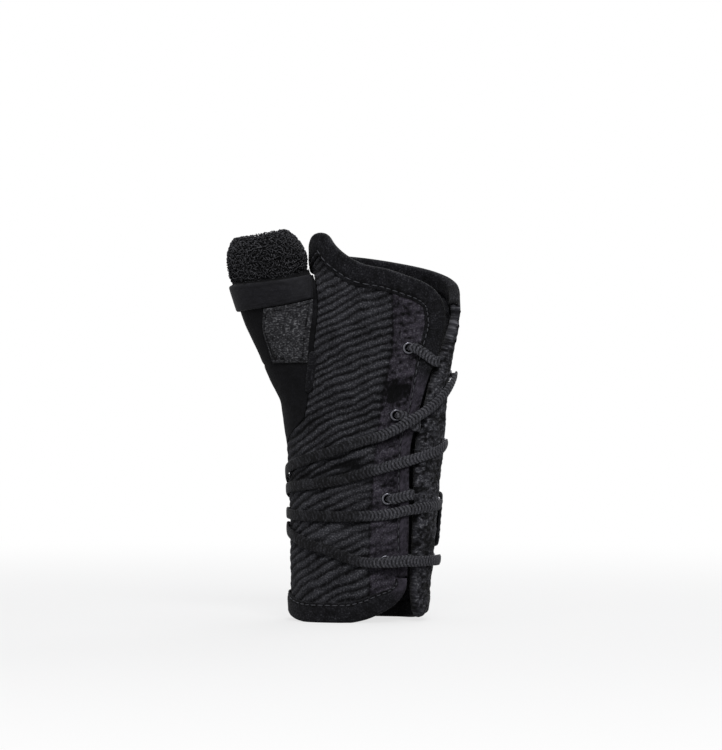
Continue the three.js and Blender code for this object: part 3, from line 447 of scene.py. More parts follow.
class ThumbForm:
    """The thumb sleeve: a surface that turns from the body's side into the thumb's ring."""

    SHARE_STEP = 1 / 200
    HEIGHT_STEP = HEIGHT / 1000
    HALF_GIRTH = 32.0
    DRAW_LIMIT = 0.25
    CUFF_GAP = 0.6

    def __init__(self, body: BodyForm) -> None:
        """Keeps the body that the sleeve grows out of, and makes the ring's outlines."""
        self.body = body
        self.left = ShareCurve(CUFF_LEFT_SHARES)
        self.right = ShareCurve(CUFF_RIGHT_SHARES)
        self.widest = across_at(self.right(CROTCH_SHARE)) - across_at(self.left(CROTCH_SHARE))

    def ring(self, angle: Array, z: Array) -> Array:
        """Returns the thumb's ring: an ellipse between two outlines, as slimmed in depth as in width."""
        angle, z = alike(angle, z)
        share = z / HEIGHT
        left, right = across_at(self.left(share)), across_at(self.right(share))
        turn = np.radians(angle)
        depth = THUMB_DEPTH / 2 * (right - left) / self.widest
        middle = self.body.section(z, True).middle - THUMB_LEAN
        x = (left + right) / 2 + (right - left) / 2 * np.sin(turn)
        return np.stack([x, middle - depth * np.cos(turn), z], -1)

    def point(self, u: Array, z: Array) -> Array:
        """Returns points from u = -1 at the back seam over 0 on the thumb side to 1 at the front.

        The body's section turns into the ring over the height, and the miss at each seam, times
        the fourth power of |u|, pins the edge to it.
        """
        u, z = alike(u, z)
        body, near = self.body, np.abs(u)
        wide_front = body.angle_at(body.thumb_seam(z / HEIGHT), z, True)
        low = ease(THUMB_TIP_SHARE, THUMB_TIP_SHARE + SEAM_BLEND, z / HEIGHT)
        ends = mix(RADIAL_SEAM, np.where(u > 0, wide_front, BACK_SEAM - wide_front), low)
        middle = mix(RADIAL_SEAM, THUMB_SIDE, low)
        rounding = ease(WEB_BLEND_SHARES[0], BAND_TOP_SHARES[0], z / HEIGHT)[..., None]

        def shape(share: Array) -> Array:
            """Returns the mix of body and ring at a share of the way to each seam."""
            wide = body.point(mix(middle, ends, share), z, True)
            turned = THUMB_SIDE + np.where(u > 0, 1.0, -1.0) * share * (180 - CROTCH_HALF_ANGLE)
            return mix(wide, self.ring(turned, z), rounding)

        seam = np.where(u > 0, body.seam_front(z), body.seam_back(z))
        seat = body.point(seam, z) - shape(np.ones_like(near))
        return shape(near) + seat * near[..., None] ** 4

    def normal(self, u: Array, z: Array) -> Array:
        """Returns the outward normal, the cross product of both central differences."""
        s, h = self.SHARE_STEP, self.HEIGHT_STEP
        inside = np.clip(u, -1 + s, 1 - s)
        along_u = self.point(inside + s, z) - self.point(inside - s, z)
        return unit(np.cross(along_u, self.point(inside, z + h) - self.point(inside, z - h)))

    def lifted(self, u: Array, z: Array, lift: Array | float) -> Array:
        """Returns points at a lift outward from the sleeve."""
        u, z, lift = alike(u, z, lift)
        return self.point(u, z) + self.normal(u, z) * lift[..., None]

    def inside_seams(self, u: Array, z: Array, gap: float) -> Array:
        """Returns u drawn in so that the sleeve ends a gap short of both seams."""
        edge = np.where(u < 0, -1.0, 1.0) * (1 - self.SHARE_STEP)
        width = self.point(edge + self.SHARE_STEP, z) - self.point(edge - self.SHARE_STEP, z)
        stretch = np.linalg.norm(width, axis=-1) / (2 * self.SHARE_STEP)
        return u * (1 - np.minimum(gap / stretch, self.DRAW_LIMIT))

    def band_top(self, u: Array) -> Array:
        """Returns the height of the band's top edge, which rises towards both seams."""
        return height_at(mix(*BAND_TOP_SHARES, u * u))

    def band_low(self, u: Array) -> Array:
        """Returns the height of the band's lower edge."""
        return height_at(mix(*BAND_LOW_SHARES, u * u))

    def cuff_base(self, angle: Array) -> Array:
        """Returns the height where the pile cuff starts at an angle of the ring."""
        turn = np.abs((angle - THUMB_SIDE + 180) % 360 - 180)
        return self.band_top(np.minimum(turn / (180 - CROTCH_HALF_ANGLE), 1)) + self.CUFF_GAP

    def cuff_rim(self, angle: Array) -> Array:
        """Returns the height of the cuff's rim, which leans up towards the palm."""
        return height_at(mix(*CUFF_RIM_SHARES, (1 + np.sin(np.radians(angle))) / 2))


BODY = BodyForm()
THUMB = ThumbForm(BODY)


def frame_shift() -> Array:
    """Returns the move from the maker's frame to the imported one.

    The thumb cuff's solid has corners where the ring is widest at the thumb side and deepest at
    the back, and at its rim towards the palm. Its box, less those places here, is the move.
    """
    angles = THUMB_SIDE - 180 + np.arange(CUFF_SIDES) * 360 / CUFF_SIDES
    rows = np.linspace(0, 1, CUFF_ROWS)[:, None]
    ring = THUMB.ring(angles, mix(THUMB.cuff_base(angles), THUMB.cuff_rim(angles), rows))
    least, most = ring.min((0, 1)), ring.max((0, 1))
    low, high = (np.array(corner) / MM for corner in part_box("thumb_cuff"))
    return np.array([low[0] - least[0], high[1] - most[1], high[2] - most[2]])


SHIFT = frame_shift()


def placed(points: Array) -> Array:
    """Returns points of the maker's frame, in millimetres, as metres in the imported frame."""
    return (points + SHIFT) * MM


@dataclass
class Skin:
    """Closed surface: points in millimetres, and its faces as runs of corners.

    Attributes:
        points: Points, n by 3.
        corners: Point index of every face corner, face after face.
        sizes: Number of corners of each face.
        uv: Place of every corner on its cloth, in millimetres.
        crown: Height of the relief at each point, from 0 in a groove to 1 on a ridge; the cloths paint it
            from dark to light, as painted shade and painted highlight besides random tone.
        layer: How far each point belongs to a second layer, from 0 to 1.
    """

    points: Array
    corners: Array
    sizes: Array
    uv: Array
    crown: Array
    layer: Array

    def turned_out(self) -> "Skin":
        """Returns the skin with its faces outward.

        The signed volume is the sum of a . (b x c) over the triangles of every face's fan. Where
        it is negative, each face's corners are put in reverse order.
        """
        starts = np.concatenate([[0], np.cumsum(self.sizes)[:-1]])
        volume = 0.0
        for k in range(1, int(self.sizes.max()) - 1):
            at = starts[self.sizes > k + 1]
            a, b, c = (self.points[self.corners[at + j]] for j in (0, k, k + 1))
            volume += np.einsum("ij,ij->", a, np.cross(b, c))
        if volume >= 0:
            return self
        first, size = np.repeat(starts, self.sizes), np.repeat(self.sizes, self.sizes)
        back = 2 * first + size - 1 - np.arange(len(self.corners))
        return Skin(self.points, self.corners[back], self.sizes, self.uv[back], self.crown, self.layer)


def joined(skins: Sequence[Skin]) -> Skin:
    """Returns several skins as one."""
    points, sizes, uv, crown, layer = (
        np.concatenate([getattr(skin, name) for skin in skins])
        for name in ("points", "sizes", "uv", "crown", "layer"))
    offsets = np.cumsum([0] + [len(skin.points) for skin in skins[:-1]])
    corners = np.concatenate([skin.corners + offset for skin, offset in zip(skins, offsets)])
    return Skin(points, corners, sizes, uv, crown, layer)


def quads(rows: int, columns: int, loop_rows: bool = False,
          loop_columns: bool = False) -> tuple[Array, Array]:
    """Quads of a grid: (i, j), (i, j + 1), (i + 1, j + 1), (i + 1, j) for each cell.

    Args:
        rows: Rows of points.
        columns: Columns of points.
        loop_rows: Whether the last row's cells close on the first row.
        loop_columns: Whether the last column's cells close on the first column.

    Returns:
        The corners as point indices, and as indices of a grid of places with one more row or
        column where it loops, both n by 4.
    """
    i, j = np.meshgrid(np.arange(rows - (not loop_rows)), np.arange(columns - (not loop_columns)),
                       indexing="ij")
    steps = ((0, 0), (0, 1), (1, 1), (1, 0))
    points = np.stack([(i + a) % rows * columns + (j + b) % columns for a, b in steps], -1)
    places = np.stack([(i + a) * (columns + loop_columns) + j + b for a, b in steps], -1)
    return points.reshape(-1, 4), places.reshape(-1, 4)


def places_grid(rows: Array, columns: Array) -> Array:
    """Returns a grid of places on a cloth, from places up it and places across it."""
    return np.stack(np.meshgrid(rows, columns, indexing="ij"), -1)


def edge_loop(rows: int, columns: int) -> Array:
    """Returns the border of a grid as point indices, once round from its first point."""
    return np.concatenate([
        np.arange(columns - 1),
        columns - 1 + columns * np.arange(rows - 1),
        rows * columns - 1 - np.arange(columns - 1),
        columns * np.arange(rows - 1, 0, -1),
    ])


def shell(outer: Array, inner: Array, uv: Array, crown: Array | float = 0.5,
          layer: Array | float = 0.0) -> Skin:
    """Closed solid between two grids, the inner one every k-th point as dense.

    The rim between them is a fan of triangles to each inner point, and one triangle across from
    each inner point to the next.

    Args:
        outer: Outer points, R by C by 3.
        inner: Inner points, r by c by 3, with R - 1 = k (r - 1) and C - 1 = k (c - 1).
        uv: Places of the outer points on the cloth, R by C by 2.
        crown: Relief of the outer points, R by C.
        layer: Second layer's share at the outer points, R by C.

    Returns:
        The skin, faces outward.
    """
    (rows, columns), (few_rows, few_columns) = outer.shape[:2], inner.shape[:2]
    k = (rows - 1) // (few_rows - 1)
    total = rows * columns
    around = edge_loop(rows, columns).reshape(-1, k)
    nearby = total + edge_loop(few_rows, few_columns)
    following = np.roll(nearby, -1)
    run = np.concatenate([around, np.roll(around[:, 0], -1)[:, None]], 1)
    half = (k + 1) // 2
    fans = [np.stack([run[:, j + 1], run[:, j], nearby if j < half else following], -1) for j in range(k)]
    fans.append(np.stack([nearby, following, run[:, half]], -1))
    triangles = np.concatenate(fans)
    outer_quads, inner_quads = quads(rows, columns)[0], quads(few_rows, few_columns)[0]
    corners = np.concatenate([outer_quads.ravel(), (inner_quads[:, ::-1] + total).ravel(), triangles.ravel()])
    sizes = np.concatenate([np.full(len(outer_quads) + len(inner_quads), 4), np.full(len(triangles), 3)])

    def both(grid: Array | float) -> Array:
        """Returns a value of the outer points, and of the inner ones from every k-th of them."""
        grid = np.broadcast_to(grid, (rows, columns))
        return np.concatenate([grid.ravel(), grid[::k, ::k].ravel()])

    places = np.stack([both(uv[..., 0]), both(uv[..., 1])], -1)
    points = np.concatenate([outer.reshape(-1, 3), inner.reshape(-1, 3)])
    return Skin(points, corners, sizes, places[corners], both(crown), both(layer)).turned_out()


def tubes(points: Array, uv: Array | None = None, crown: Array | float = 0.5,
          layer: Array | float = 0.0) -> Skin:
    """Closed tubes, whose end sections are closed by quads across them.

    Column l of a section is joined to column C - 1 - l, so a section's second half runs back
    along its first.

    Args:
        points: N by R by C by 3, R sections of C points for each of N tubes.
        uv: Places of one tube's points, R by C + 1 by 2, the same for every tube.
        crown: Relief, N by R by C.
        layer: Second layer's share, N by R by C.

    Returns:
        The skin, faces outward.
    """
    count, rows, columns = points.shape[:3]
    if uv is None:
        uv = places_grid(np.arange(rows) * 0.3, np.arange(columns + 1) * 0.3)
    walls, wall_places = quads(rows, columns, loop_columns=True)
    first = np.arange(columns // 2 - 1)
    cap = np.stack([first, columns - 1 - first, columns - 2 - first, first + 1], -1)
    ends = np.concatenate([cap, (cap + (rows - 1) * columns)[:, ::-1]])
    end_places = ends // columns * (columns + 1) + ends % columns
    one = np.concatenate([walls, ends]).ravel()
    places = np.concatenate([wall_places, end_places]).ravel()
    corners = (one + np.arange(count)[:, None] * rows * columns).ravel()
    levels, layers = (np.broadcast_to(value, (count, rows, columns)).ravel() for value in (crown, layer))
    return Skin(points.reshape(-1, 3), corners, np.full(len(corners) // 4, 4),
                np.tile(uv.reshape(-1, 2)[places], (count, 1)), levels, layers).turned_out()


def ring_solid(points: Array, uv: Array, crown: Array | float = 0.5) -> Skin:
    """Returns a closed ring from a grid that loops both ways, with places one row and column longer."""
    rows, columns = points.shape[:2]
    corners, places = quads(rows, columns, True, True)
    levels = np.broadcast_to(crown, (rows, columns)).ravel()
    return Skin(points.reshape(-1, 3), corners.ravel(), np.full(len(corners), 4),
                uv.reshape(-1, 2)[places.ravel()], levels, np.zeros_like(levels)).turned_out()


def hex_colour(code: str) -> tuple[float, float, float, float]:
    """Returns an sRGB hex colour as linear red, green, blue and alpha.

    A channel c turns linear as ((c + 0.055) / 1.055) ** 2.4, or c / 12.92 below 0.04045.
    """
    channels = [int(code[i:i + 2], 16) / 255 for i in (1, 3, 5)]
    return tuple(c / 12.92 if c <= 0.04045 else ((c + 0.055) / 1.055) ** 2.4 for c in channels) + (1.0,)


def add_node(tree: NodeTree, kind: str, settings: dict | None = None,
             inputs: dict | None = None) -> Node:
    """Adds a node with its settings and inputs.

    Args:
        tree: The node tree.
        kind: The node's type.
        settings: Values of the node's own properties.
        inputs: For each input's name or index, a socket to link from or a value to set.

    Returns:
        The node.
    """
    made = tree.nodes.new(kind)
    for name, value in (settings or {}).items():
        setattr(made, name, value)
    for name, value in (inputs or {}).items():
        if isinstance(value, NodeSocket):
            tree.links.new(value, made.inputs[name])
        else:
            made.inputs[name].default_value = value
    return made


def new_material(name: str) -> tuple[Material, NodeTree, Node]:
    """Returns a new material, its node tree and its shader."""
    made = bpy.data.materials.new(name)
    made.use_nodes = True
    return made, made.node_tree, made.node_tree.nodes["Principled BSDF"]


def in_scene(name: str, data: ID) -> Object:
    """Returns a new object of the data, linked to the scene."""
    made = bpy.data.objects.new(name, data)
    bpy.context.scene.collection.objects.link(made)
    return made


class Grain(Enum):
    """Fine patterns of the fabrics."""

    CROSS = "cross grain"
    NAP = "raised nap"
    TRICOT = "tricot loops"
    FLECK = "flecked knit"
    CURL = "curled loops"
    REP = "fine rep"
    PLAIT = "plaited yarn"
    HOOKS = "moulded hooks"


@dataclass(frozen=True)
class Fabric:
    """A cloth, from its yarn's colours and its grain's size in millimetres.

    Attributes:
        name: Common name of the cloth.
        deep: Colour in the grooves and hollows, where it is painted shade, and at the dark end of the random
            mottle.
        high: Colour on the ridges, where it is a painted highlight, and at the light end of the random
            mottle.
        grain: Fine pattern.
        pitch: Spacing of the fine pattern in millimetres.
        depth: Height of the fine pattern in millimetres.
        roughness: Roughness of the yarn.
        sheen: Weight of the fibres' sheen.
        fleck: Colour of the light flecks.
        fleck_share: Share of the flecks in the colour.
        second: Colour of the second layer's ridges.
        follows_cloth: Whether the pattern lies on the cloth's own map.
    """

    name: str
    deep: str
    high: str
    grain: Grain
    pitch: float
    depth: float
    roughness: float = 0.9
    sheen: float = 0.04
    fleck: str = "#8c8c92"
    fleck_share: float = 0.15
    second: str = "#4d4853"
    follows_cloth: bool = True

    GRAIN_WEIGHT, SLOW_WEIGHT, MIDDLE_TONE = 0.35, 0.5, 0.42
    SLOW_SCALE, FLECK_SCALE, FLECK_SPAN = 0.09, 1.1, (0.5, 0.66)
    SHEEN_SPREAD, SPECULAR = 0.45, 0.12

    def place(self, tree: NodeTree) -> NodeSocket:
        """Returns the coordinates in millimetres, on the cloth's map or in the object."""
        if self.follows_cloth:
            return add_node(tree, "ShaderNodeUVMap", {"uv_map": "cloth"}).outputs["UV"]
        origin = add_node(tree, "ShaderNodeTexCoord").outputs["Object"]
        return add_node(tree, "ShaderNodeMapping", inputs={0: origin, "Scale": (1 / MM,) * 3}).outputs[0]

    def pattern(self, tree: NodeTree, place: NodeSocket) -> NodeSocket:
        """Returns the fine pattern, from 0 to 1: round cells for loops, and noise for yarn."""
        per_mm = 1 / self.pitch
        stretch = {
            Grain.CROSS: (per_mm, per_mm * 0.45, per_mm), Grain.REP: (per_mm * 0.25, per_mm, per_mm),
        }.get(self.grain, (per_mm,) * 3)
        scaled = add_node(tree, "ShaderNodeMapping", inputs={0: place, "Scale": stretch}).outputs[0]
        if self.grain in (Grain.TRICOT, Grain.HOOKS, Grain.FLECK):
            source = add_node(tree, "ShaderNodeTexVoronoi", {"feature": "SMOOTH_F1"}, {
                "Vector": scaled, "Scale": 1.0, "Smoothness": 0.3, "Randomness": 0.55}).outputs["Distance"]
            dark, light = 0.75, 0.05
        else:
            source = add_node(tree, "ShaderNodeTexNoise", inputs={
                "Vector": scaled, "Scale": 1.0, "Detail": 2.5, "Roughness": 0.6,
                "Distortion": 0.2}).outputs[0]
            dark, light = 0.28, 0.72
        return add_node(tree, "ShaderNodeMapRange", inputs={
            "Value": source, 1: dark, 2: light, 3: 0.0, 4: 1.0}).outputs[0]

    def material(self) -> Material:
        """Builds the material: a painted highlight on the ridges, painted shade in the grooves, fine grain
        and slow changes of tone.
        """
        made, tree, shader = new_material(self.name)
        place = self.place(tree)
        grain = self.pattern(tree, place)
        crown = add_node(tree, "ShaderNodeAttribute", {"attribute_name": "crown"}).outputs["Fac"]
        layer = add_node(tree, "ShaderNodeAttribute", {"attribute_name": "layer"}).outputs["Fac"]
        slow = add_node(tree, "ShaderNodeTexNoise", inputs={
            "Vector": place, "Scale": self.SLOW_SCALE, "Detail": 3.0}).outputs[0]
        high = add_node(tree, "ShaderNodeMix", {"data_type": "RGBA"}, {
            0: layer, 6: hex_colour(self.high), 7: hex_colour(self.second)}).outputs[2]
        lit = add_node(tree, "ShaderNodeMath", {"operation": "MULTIPLY_ADD"}, {
            0: grain, 1: self.GRAIN_WEIGHT, 2: crown}).outputs[0]
        centred = add_node(tree, "ShaderNodeMath", {"operation": "SUBTRACT"}, {
            0: lit, 1: self.MIDDLE_TONE}).outputs[0]
        tone = add_node(tree, "ShaderNodeMath", {"operation": "MULTIPLY_ADD", "use_clamp": True}, {
            0: slow, 1: self.SLOW_WEIGHT, 2: centred}).outputs[0]
        # The crown sets the tone: a low crown is painted shade, a high crown a painted highlight, besides
        # random mottle.
        body = add_node(tree, "ShaderNodeMix", {"data_type": "RGBA"}, {
            0: tone, 6: hex_colour(self.deep), 7: high}).outputs[2]
        fine = add_node(tree, "ShaderNodeTexNoise", inputs={
            "Vector": place, "Scale": self.FLECK_SCALE / self.pitch, "Detail": 2.0}).outputs[0]
        light = add_node(tree, "ShaderNodeMapRange", inputs={
            "Value": fine, 1: self.FLECK_SPAN[0], 2: self.FLECK_SPAN[1], 3: 0.0,
            4: self.fleck_share}).outputs[0]
        # Flecks show in proportion to the tone, so the painted shade in the grooves hides them.
        spot = add_node(tree, "ShaderNodeMath", {"operation": "MULTIPLY"}, {0: light, 1: tone}).outputs[0]
        shown = add_node(tree, "ShaderNodeMix", {"data_type": "RGBA"}, {
            0: spot, 6: body, 7: hex_colour(self.fleck)}).outputs[2]
        relief = add_node(tree, "ShaderNodeBump", inputs={
            "Height": grain, "Strength": 1.0, "Distance": self.depth * MM}).outputs["Normal"]
        tree.links.new(shown, shader.inputs["Base Color"])
        tree.links.new(relief, shader.inputs["Normal"])
        shader.inputs["Roughness"].default_value = self.roughness
        shader.inputs["Sheen Weight"].default_value = self.sheen
        shader.inputs["Sheen Roughness"].default_value = self.SHEEN_SPREAD
        shader.inputs["Specular IOR Level"].default_value = self.SPECULAR
        return made


@dataclass(frozen=True)
class Metal:
    """A metal, from its colours, its polish and the size of its surface grain in millimetres."""

    name: str
    colour: str
    worn: str
    roughness: float
    grain: tuple[float, float, float]
    depth: float

    def material(self) -> Material:
        """Builds the material: a slightly uneven colour and polish over a fine grain."""
        made, tree, shader = new_material(self.name)
        origin = add_node(tree, "ShaderNodeTexCoord").outputs["Object"]
        scale = tuple(1 / (size * MM) for size in self.grain)
        place = add_node(tree, "ShaderNodeMapping", inputs={0: origin, "Scale": scale}).outputs[0]
        grain = add_node(tree, "ShaderNodeTexNoise", inputs={
            "Vector": place, "Scale": 1.0, "Detail": 3.0}).outputs[0]
        colour = add_node(tree, "ShaderNodeMix", {"data_type": "RGBA"}, {
            0: grain, 6: hex_colour(self.colour), 7: hex_colour(self.worn)}).outputs[2]
        rough = add_node(tree, "ShaderNodeMapRange", inputs={
            "Value": grain, 1: 0.3, 2: 0.7, 3: self.roughness * 0.8, 4: self.roughness * 1.25}).outputs[0]
        relief = add_node(tree, "ShaderNodeBump", inputs={
            "Height": grain, "Strength": 1.0, "Distance": self.depth * MM}).outputs["Normal"]
        tree.links.new(colour, shader.inputs["Base Color"])
        tree.links.new(rough, shader.inputs["Roughness"])
        tree.links.new(relief, shader.inputs["Normal"])
        shader.inputs["Metallic"].default_value = 1.0
        return made


# Yarn of 0.3 to 0.5 mm is too fine to show in the render, so the grains of the woven, brushed and
# knitted cloths are drawn at 0.5 to 1.0 mm.

# Woven polyester rep with raised slanting ribs: matt black-grey, with a painted highlight on the ribs' tops
# and painted shade in the grooves.
RIBBED_CLOTH = Fabric("ribbed_polyester_rep", "#020203", "#3f3f44", Grain.CROSS, 0.8, 0.24, fleck="#8c8c92",
                      fleck_share=0.5)
# Brushed nylon binding tape: a short raised nap takes the light softly and hides the weave.
BRUSHED_CLOTH = Fabric("brushed_nylon_tape", "#050506", "#212125", Grain.NAP, 0.8, 0.22, sheen=0.05,
                       fleck="#6c6c72", fleck_share=0.35)
# The same nap on the padded roll, where wear has opened it: lighter, with loose fibre ends.
ROLL_CLOTH = Fabric("worn_nylon_nap", "#040405", "#48484e", Grain.NAP, 1.0, 0.35, sheen=0.07,
                    fleck="#a2a2a8", fleck_share=0.55)
# Brushed tricot laminated on foam: small even loops, dull and dark.
LINING_CLOTH = Fabric("tricot_foam_lining", "#0b0b0d", "#36363a", Grain.TRICOT, 0.9, 0.1, sheen=0.08)
# Plain stretch jersey of the sleeve's side: close, smooth and nearly black.
STRETCH_CLOTH = Fabric("stretch_jersey", "#060607", "#1b1b1e", Grain.TRICOT, 0.7, 0.05, fleck_share=0.05)
# Marled stretch knit: bright flecks of a lighter yarn among black loops.
KNIT_CLOTH = Fabric("marled_stretch_knit", "#08080a", "#4a4a4e", Grain.FLECK, 0.75, 0.16,
                    fleck="#a6a6aa", fleck_share=0.8)
# Curled loop pile: springy dull yarn, each curl catching a little light on its crown.
PILE_CLOTH = Fabric("curled_loop_pile", "#08080a", "#4c4c50", Grain.CURL, 1.4, 0.05, sheen=0.06,
                    fleck="#8a8a8e", fleck_share=0.35, follows_cloth=False)
# Smooth satin-faced elastic: flat and close, so it has a slight even sheen.
STRAP_CLOTH = Fabric("satin_elastic", "#101013", "#29292d", Grain.REP, 0.5, 0.05, roughness=0.72,
                     fleck_share=0.06)
# Flat plaited polyester lace: each plait is a small ridge with a painted highlight on it.
BRAID_CLOTH = Fabric("plaited_polyester_lace", "#020203", "#525258", Grain.PLAIT, 0.5, 0.08, roughness=0.7,
                     fleck="#a2a2a8", fleck_share=0.5)
# Filament hook tape: stiff nylon hooks with a faint plastic gleam.
HOOK_CLOTH = Fabric("nylon_hook_tape", "#08080a", "#26262a", Grain.HOOKS, 1.2, 0.12, roughness=0.5, sheen=0.0)
# Bonded polyester thread: a fine twisted cord, a little glossier than the cloth.
THREAD = Fabric("bonded_polyester_thread", "#141417", "#5c5c62", Grain.PLAIT, 0.3, 0.03, roughness=0.6)
# Black nickel on brass: dark mirror plating with bright rings where the flange is rolled.
BLACK_NICKEL = Metal("black_nickel_plating", "#3a3a40", "#6c6c72", 0.2, (1.2, 1.2, 1.2), 0.004)
# Rolled aluminium strip: pale and satin, drawn along its length.
STAY_METAL = Metal("rolled_aluminium_strip", "#b4b6ba", "#d6d8dc", 0.38, (0.5, 0.5, 14.0), 0.006)


@cache
def material_of(finish: Fabric | Metal) -> Material:
    """Returns the finish's material, made once."""
    return finish.material()


def make_piece(name: str, skin: Skin, finish: Fabric | Metal,
               crisp: float | None = None) -> Object:
    """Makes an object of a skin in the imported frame.

    Args:
        name: The piece's name.
        skin: Its surface, in the maker's frame.
        finish: Its finish.
        crisp: Angle in degrees past which an edge is sharp, or None for a smooth skin.

    Returns:
        The object, which stands at the origin.
    """
    mesh = bpy.data.meshes.new(name)
    mesh.vertices.add(len(skin.points))
    mesh.vertices.foreach_set("co", placed(skin.points).astype(np.float32).ravel())
    mesh.loops.add(len(skin.corners))
    mesh.loops.foreach_set("vertex_index", skin.corners.astype(np.int32))
    mesh.polygons.add(len(skin.sizes))
    starts = np.concatenate([[0], np.cumsum(skin.sizes)[:-1]])
    mesh.polygons.foreach_set("loop_start", starts.astype(np.int32))
    mesh.update(calc_edges=True)
    mesh.uv_layers.new(name="cloth").data.foreach_set("uv", skin.uv.astype(np.float32).ravel())
    for attribute, values in (("crown", skin.crown), ("layer", skin.layer)):
        made = mesh.attributes.new(attribute, "FLOAT", "POINT")
        made.data.foreach_set("value", np.clip(values, 0, 1).astype(np.float32))
    mesh.polygons.foreach_set("use_smooth", np.ones(len(skin.sizes), bool))
    if crisp is not None:
        mesh.set_sharp_from_angle(angle=math.radians(crisp))
    mesh.validate()
    made = in_scene(name, mesh)
    made.data.materials.append(material_of(finish))
    return made


def on_body(piece: Object, body: Body, *stands_for: str) -> Object:
    """Lets a piece ride on a body and stand for solids."""
    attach(piece, body.value)
    if stands_for:
        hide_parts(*stands_for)
    return piece


def across_seam(piece: Object, *stands_for: str, start: tuple = (-0.010, 0.022, 0.080),
                end: tuple = (-0.003, 0.022, 0.080)) -> Object:
    """Bakes a piece's place into its mesh, and lets it stand for solids."""
    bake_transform(piece)
    if stands_for:
        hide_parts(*stands_for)
    return piece


@dataclass(frozen=True)
class Chart:
    """A panel's own map: shares across and up it, to the angle round the body and the height."""

    left: Curve
    right: Curve
    bottom: Curve
    top: Curve

    def at(self, u: Array, v: Array) -> tuple[Array, Array]:
        """Returns the angle and height at each share across and up."""
        z = mix(self.bottom(u), self.top(u), v)
        return mix(self.left(z), self.right(z), u), z

    def grid(self, rows: int, columns: int) -> tuple[Array, Array]:
        """Returns the angle and height on a grid of points, rows up and columns across."""
        v, u = spread(rows, columns)
        return self.at(u, v)

    def inset(self, rows: int, columns: int) -> Array:
        """Returns each grid point's length in from the nearest border, in millimetres."""
        v, u = spread(rows, columns)
        return border_inset(BODY.point(*self.at(u, v)), v, u)


def end_curve(shares: Sequence[Sequence[float]], inset: float) -> Curve:
    """Returns the height of a panel's end over the share across it."""
    line = ShareCurve(shares)

    def curve(u: Array) -> Array:
        """Returns the end's height at each share across."""
        return height_at(line(u)) + inset

    return curve


PALM_CHART = Chart(
    BODY.moved(BODY.seam_front, SEAM_GAP / 2), BODY.moved(BODY.palm_edge, -FOLD_REACH),
    end_curve(PALM_BOTTOM_SHARES, FOLD_REACH), end_curve(PALM_TOP_SHARES, -FOLD_REACH),
)
SIDE_CHART = Chart(
    BODY.moved(BODY.seam_back, -SEAM_GAP / 2), BODY.moved(BODY.hinge, SEAM_GAP / 2),
    end_curve(SIDE_BOTTOM_SHARES, FOLD_REACH), end_curve(SIDE_TOP_SHARES, -FOLD_REACH),
)
FLAP_CHART = Chart(
    BODY.moved(steady(FAR_ROLL), SEAM_GAP), BODY.moved(BODY.far_hinge, -SEAM_GAP / 2),
    end_curve(FLAP_BOTTOM_SHARES, FOLD_REACH), end_curve(FLAP_TOP_SHARES, -FOLD_REACH),
)
PALM_EYELETS = [(float(BODY.angle_at(width, height_at(height))), height_at(height))
                for height, width in PALM_EYELET_SHARES]
FLAP_EYELETS = [(FLAP_EYELETS_AT, height_at(height)) for height in FLAP_EYELET_SHARES]
PALM_EYELET_LINE = ShareCurve(sorted(PALM_EYELET_SHARES))


@dataclass(frozen=True)
class LongRun:
    """Lace run from the pull tab round the thumb side to a flap eyelet.

    Attributes:
        front: Places on the front, as shares of width and height.
        radial: Share of the height where it rounds the thumb side.
        place: Its place among the four at the tab.
        raised: Whether it crosses over another run.
        eyelet: Index of the flap eyelet that it ends in.
    """

    PITCH = 5.4
    BEND = 2.0

    front: tuple
    radial: float
    place: float
    raised: bool
    eyelet: int

    def rows(self) -> list[tuple[float, float]]:
        """Returns the run's route as rows of angle and height."""
        at_tab = height_at(TAB_MIDDLE_SHARE) + self.place * self.PITCH
        end = TAB_ROOT - 360
        angle, z = FLAP_EYELETS[self.eyelet]
        on_front = [(float(BODY.angle_at(w, height_at(h))), height_at(h)) for w, h in self.front]
        return [
            (end + float(BODY.degrees_for(2 * CLEARANCE, end, at_tab)), at_tab),
            ((end + RADIAL_SEAM) / 2, mix(at_tab, height_at(self.radial), 0.4)),
            (RADIAL_SEAM, height_at(self.radial)), *on_front,
            (angle - float(BODY.degrees_for(self.BEND, angle, z)), z),
        ]


LONG_RUNS = (
    LongRun(((0.395, 0.426), (0.6, 0.466), (0.647, 0.474), (0.81, 0.53)), 0.368, 1.5, True, 0),
    LongRun(((0.438, 0.359), (0.622, 0.387), (0.776, 0.415)), 0.332, 0.5, False, 1),
    LongRun(((0.438, 0.271), (0.63, 0.273), (0.776, 0.289)), 0.277, -0.5, False, 2),
    LongRun(((0.412, 0.189), (0.6, 0.155), (0.771, 0.158)), 0.24, -1.5, True, 3),
)


@dataclass(frozen=True)
class LacePath:
    """A lace's smooth path: its line, the way its width lies, its face, and what it does there."""

    line: Array
    side: Array
    face: Array
    length: Array
    neck: Array
    angle: Array

    def part(self, start: int | None, end: int | None) -> "LacePath":
        """Returns the path between two of its points."""
        cut = slice(start, end)
        return LacePath(self.line[cut], self.side[cut], self.face[cut], self.length[cut], self.neck[cut],
                        self.angle[cut])


